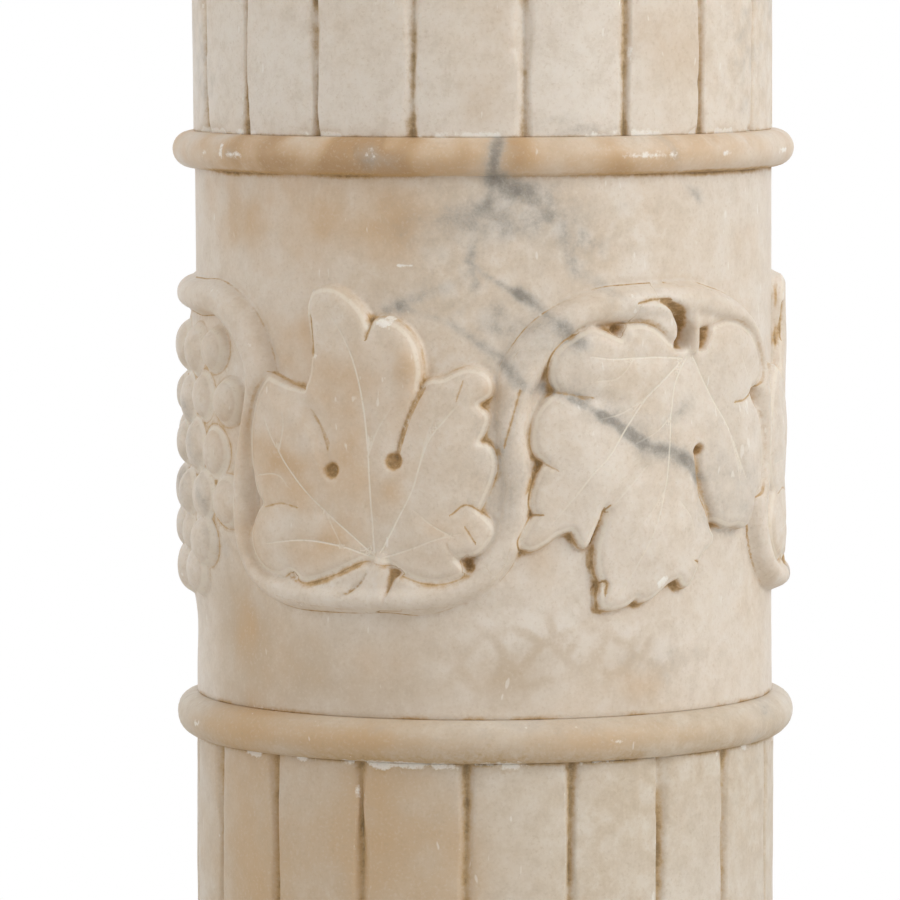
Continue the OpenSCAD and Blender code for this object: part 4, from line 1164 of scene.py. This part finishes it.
    height = node(tree, "Math", {0: noise["grain"], 1: 0.25}, operation="MULTIPLY")
    height = node(tree, "Math", {0: noise["crumb"], 1: 0.35, 2: height}, operation="MULTIPLY_ADD")
    if carved:
        height = node(tree, "Math", {0: veinLine, 1: -1.2, 2: height}, operation="MULTIPLY_ADD")
    bump = node(tree, "Bump", {"Strength": 0.35, "Distance": 0.0005, "Height": height})
    rough = node(tree, "MapRange", {0: noise["milk"], 1: 0.3, 2: 0.7, 3: look["rough"] - 0.07,
                                    4: look["rough"] + 0.07})
    dusty = node(tree, "MapRange", {0: soilAndShade, 1: 0.1, 2: 0.7, 4: 0.25}, **smooth)
    rough = node(tree, "Math", {0: rough, 1: dusty}, operation="ADD")
    shader = node(tree, "BsdfPrincipled", {
        "Base Color": colour, "Roughness": rough, "IOR": look["ior"], "Normal": bump,
        "Specular IOR Level": 0.4, "Subsurface Weight": look["depth"],
        "Subsurface Radius": (1.0, 0.72, 0.48), "Subsurface Scale": 0.0028})
    node(tree, "OutputMaterial", {"Surface": shader})
    return material


looks = {
    "cream": {**stone, "mottling": 0.26, "cream": "#e1d6c8"},
    "honey": {**stone, "mottling": 0.28, "offset": 5.0, "cream": "#d2c6b6", "milky": "#dcd4c7",
              "warm": "#cbb79a", "shade": "#b09c80"},
    "veined": {**stone, "mottling": 0.25, "offset": 9.0, "soilAndShade": "#bb9357", "darkSoilAndShade": "#886b40"},
}


creamStone = alabaster("honedCreamAlabaster", looks["cream"])
honeyStone = alabaster("honedHoneyAlabaster", looks["honey"])
veinedStone = alabaster("carvedVeinedAlabaster", looks["veined"], carved=True)
print("materials ready")

blocks = [
    (makeBase, (), "base", creamStone, "cream_alabaster"),
    (makeShaft, ("lower_shaft",), "lower_shaft", honeyStone, "honey_alabaster"),
    (makeDrum, (), "carved_drum", veinedStone, "veined_alabaster"),
    (makeShaft, ("upper_shaft",), "upper_shaft", creamStone, "cream_alabaster"),
    (makeCapital, (), "capital", creamStone, "cream_alabaster"),
]
for make, given, stands, material, slot in blocks:
    block = make(*given)
    block.data.materials.append(material)
    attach(block, "root")
    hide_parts(stands)
print("blocks ready")


studio = {
    "floorHalf": 1.9,  # metres, and ends short of the camera's view
    "floor": "#dddbd8",
    "worldBelow": 0.40,
    "worldAbove": 0.79,
    "aim": (0, 0, 0.55),  # the column's middle
    "key": {"place": (1.65, -1.1, 1.55), "power": 21.8, "size": 1.4},
    "fill": {"place": (-2.2, -0.6, 1.2), "power": 9, "size": 1.6},
}


def makeFloor():
    # one square face at height 0
    half = studio["floorHalf"]
    mesh = bpy.data.meshes.new("floor")
    corners = [(-half, -half, 0), (half, -half, 0), (half, half, 0), (-half, half, 0)]
    mesh.from_pydata(corners, [], [(0, 1, 2, 3)])
    floor = bpy.data.objects.new("floor", mesh)
    bpy.context.scene.collection.objects.link(floor)
    material = bpy.data.materials.new("paintedFloor")
    material.use_nodes = True
    shader = material.node_tree.nodes["Principled BSDF"]
    shader.inputs["Base Color"].default_value = linear(studio["floor"])
    shader.inputs["Roughness"].default_value = 0.9
    mesh.materials.append(material)


def makeLamp(name, lamp):
    # square area lamp
    data = bpy.data.lights.new(name, "AREA")
    data.energy = lamp["power"]
    data.size = lamp["size"]
    made = bpy.data.objects.new(name, data)
    made.location = lamp["place"]
    aim = Vector(studio["aim"]) - Vector(lamp["place"])
    made.rotation_euler = aim.to_track_quat("-Z", "Y").to_euler()
    bpy.context.scene.collection.objects.link(made)


def makeWorld():
    # soft light from all round, stronger from above, and a plain white backdrop for the camera and for
    # reflections
    world = bpy.data.worlds.new("studio")
    bpy.context.scene.world = world
    world.use_nodes = True
    tree = world.node_tree
    tree.nodes.clear()
    seen = 0.0
    for ray in ("Is Camera Ray", "Is Glossy Ray", "Is Transmission Ray"):
        seen = node(tree, "Math", {0: node(tree, "LightPath", out=ray), 1: seen}, operation="MAXIMUM")
    height = node(tree, "SeparateXYZ", {0: node(tree, "TexCoord", out="Generated")}, out=2)
    height = node(tree, "MapRange", {0: height, 1: -0.3, 2: 0.9, 3: studio["worldBelow"],
                                     4: studio["worldAbove"]})
    even = node(tree, "Background", {"Color": (1, 1, 1, 1), "Strength": height})
    white = node(tree, "Background", {"Color": (1, 1, 1, 1), "Strength": 1.0})
    node(tree, "OutputWorld", {"Surface": node(tree, "MixShader", {0: seen, 1: even, 2: white})})


makeFloor()
makeLamp("key", studio["key"])
makeLamp("fill", studio["fill"])
makeWorld()
bpy.context.scene.view_settings.view_transform = "Standard"
print("studio ready")
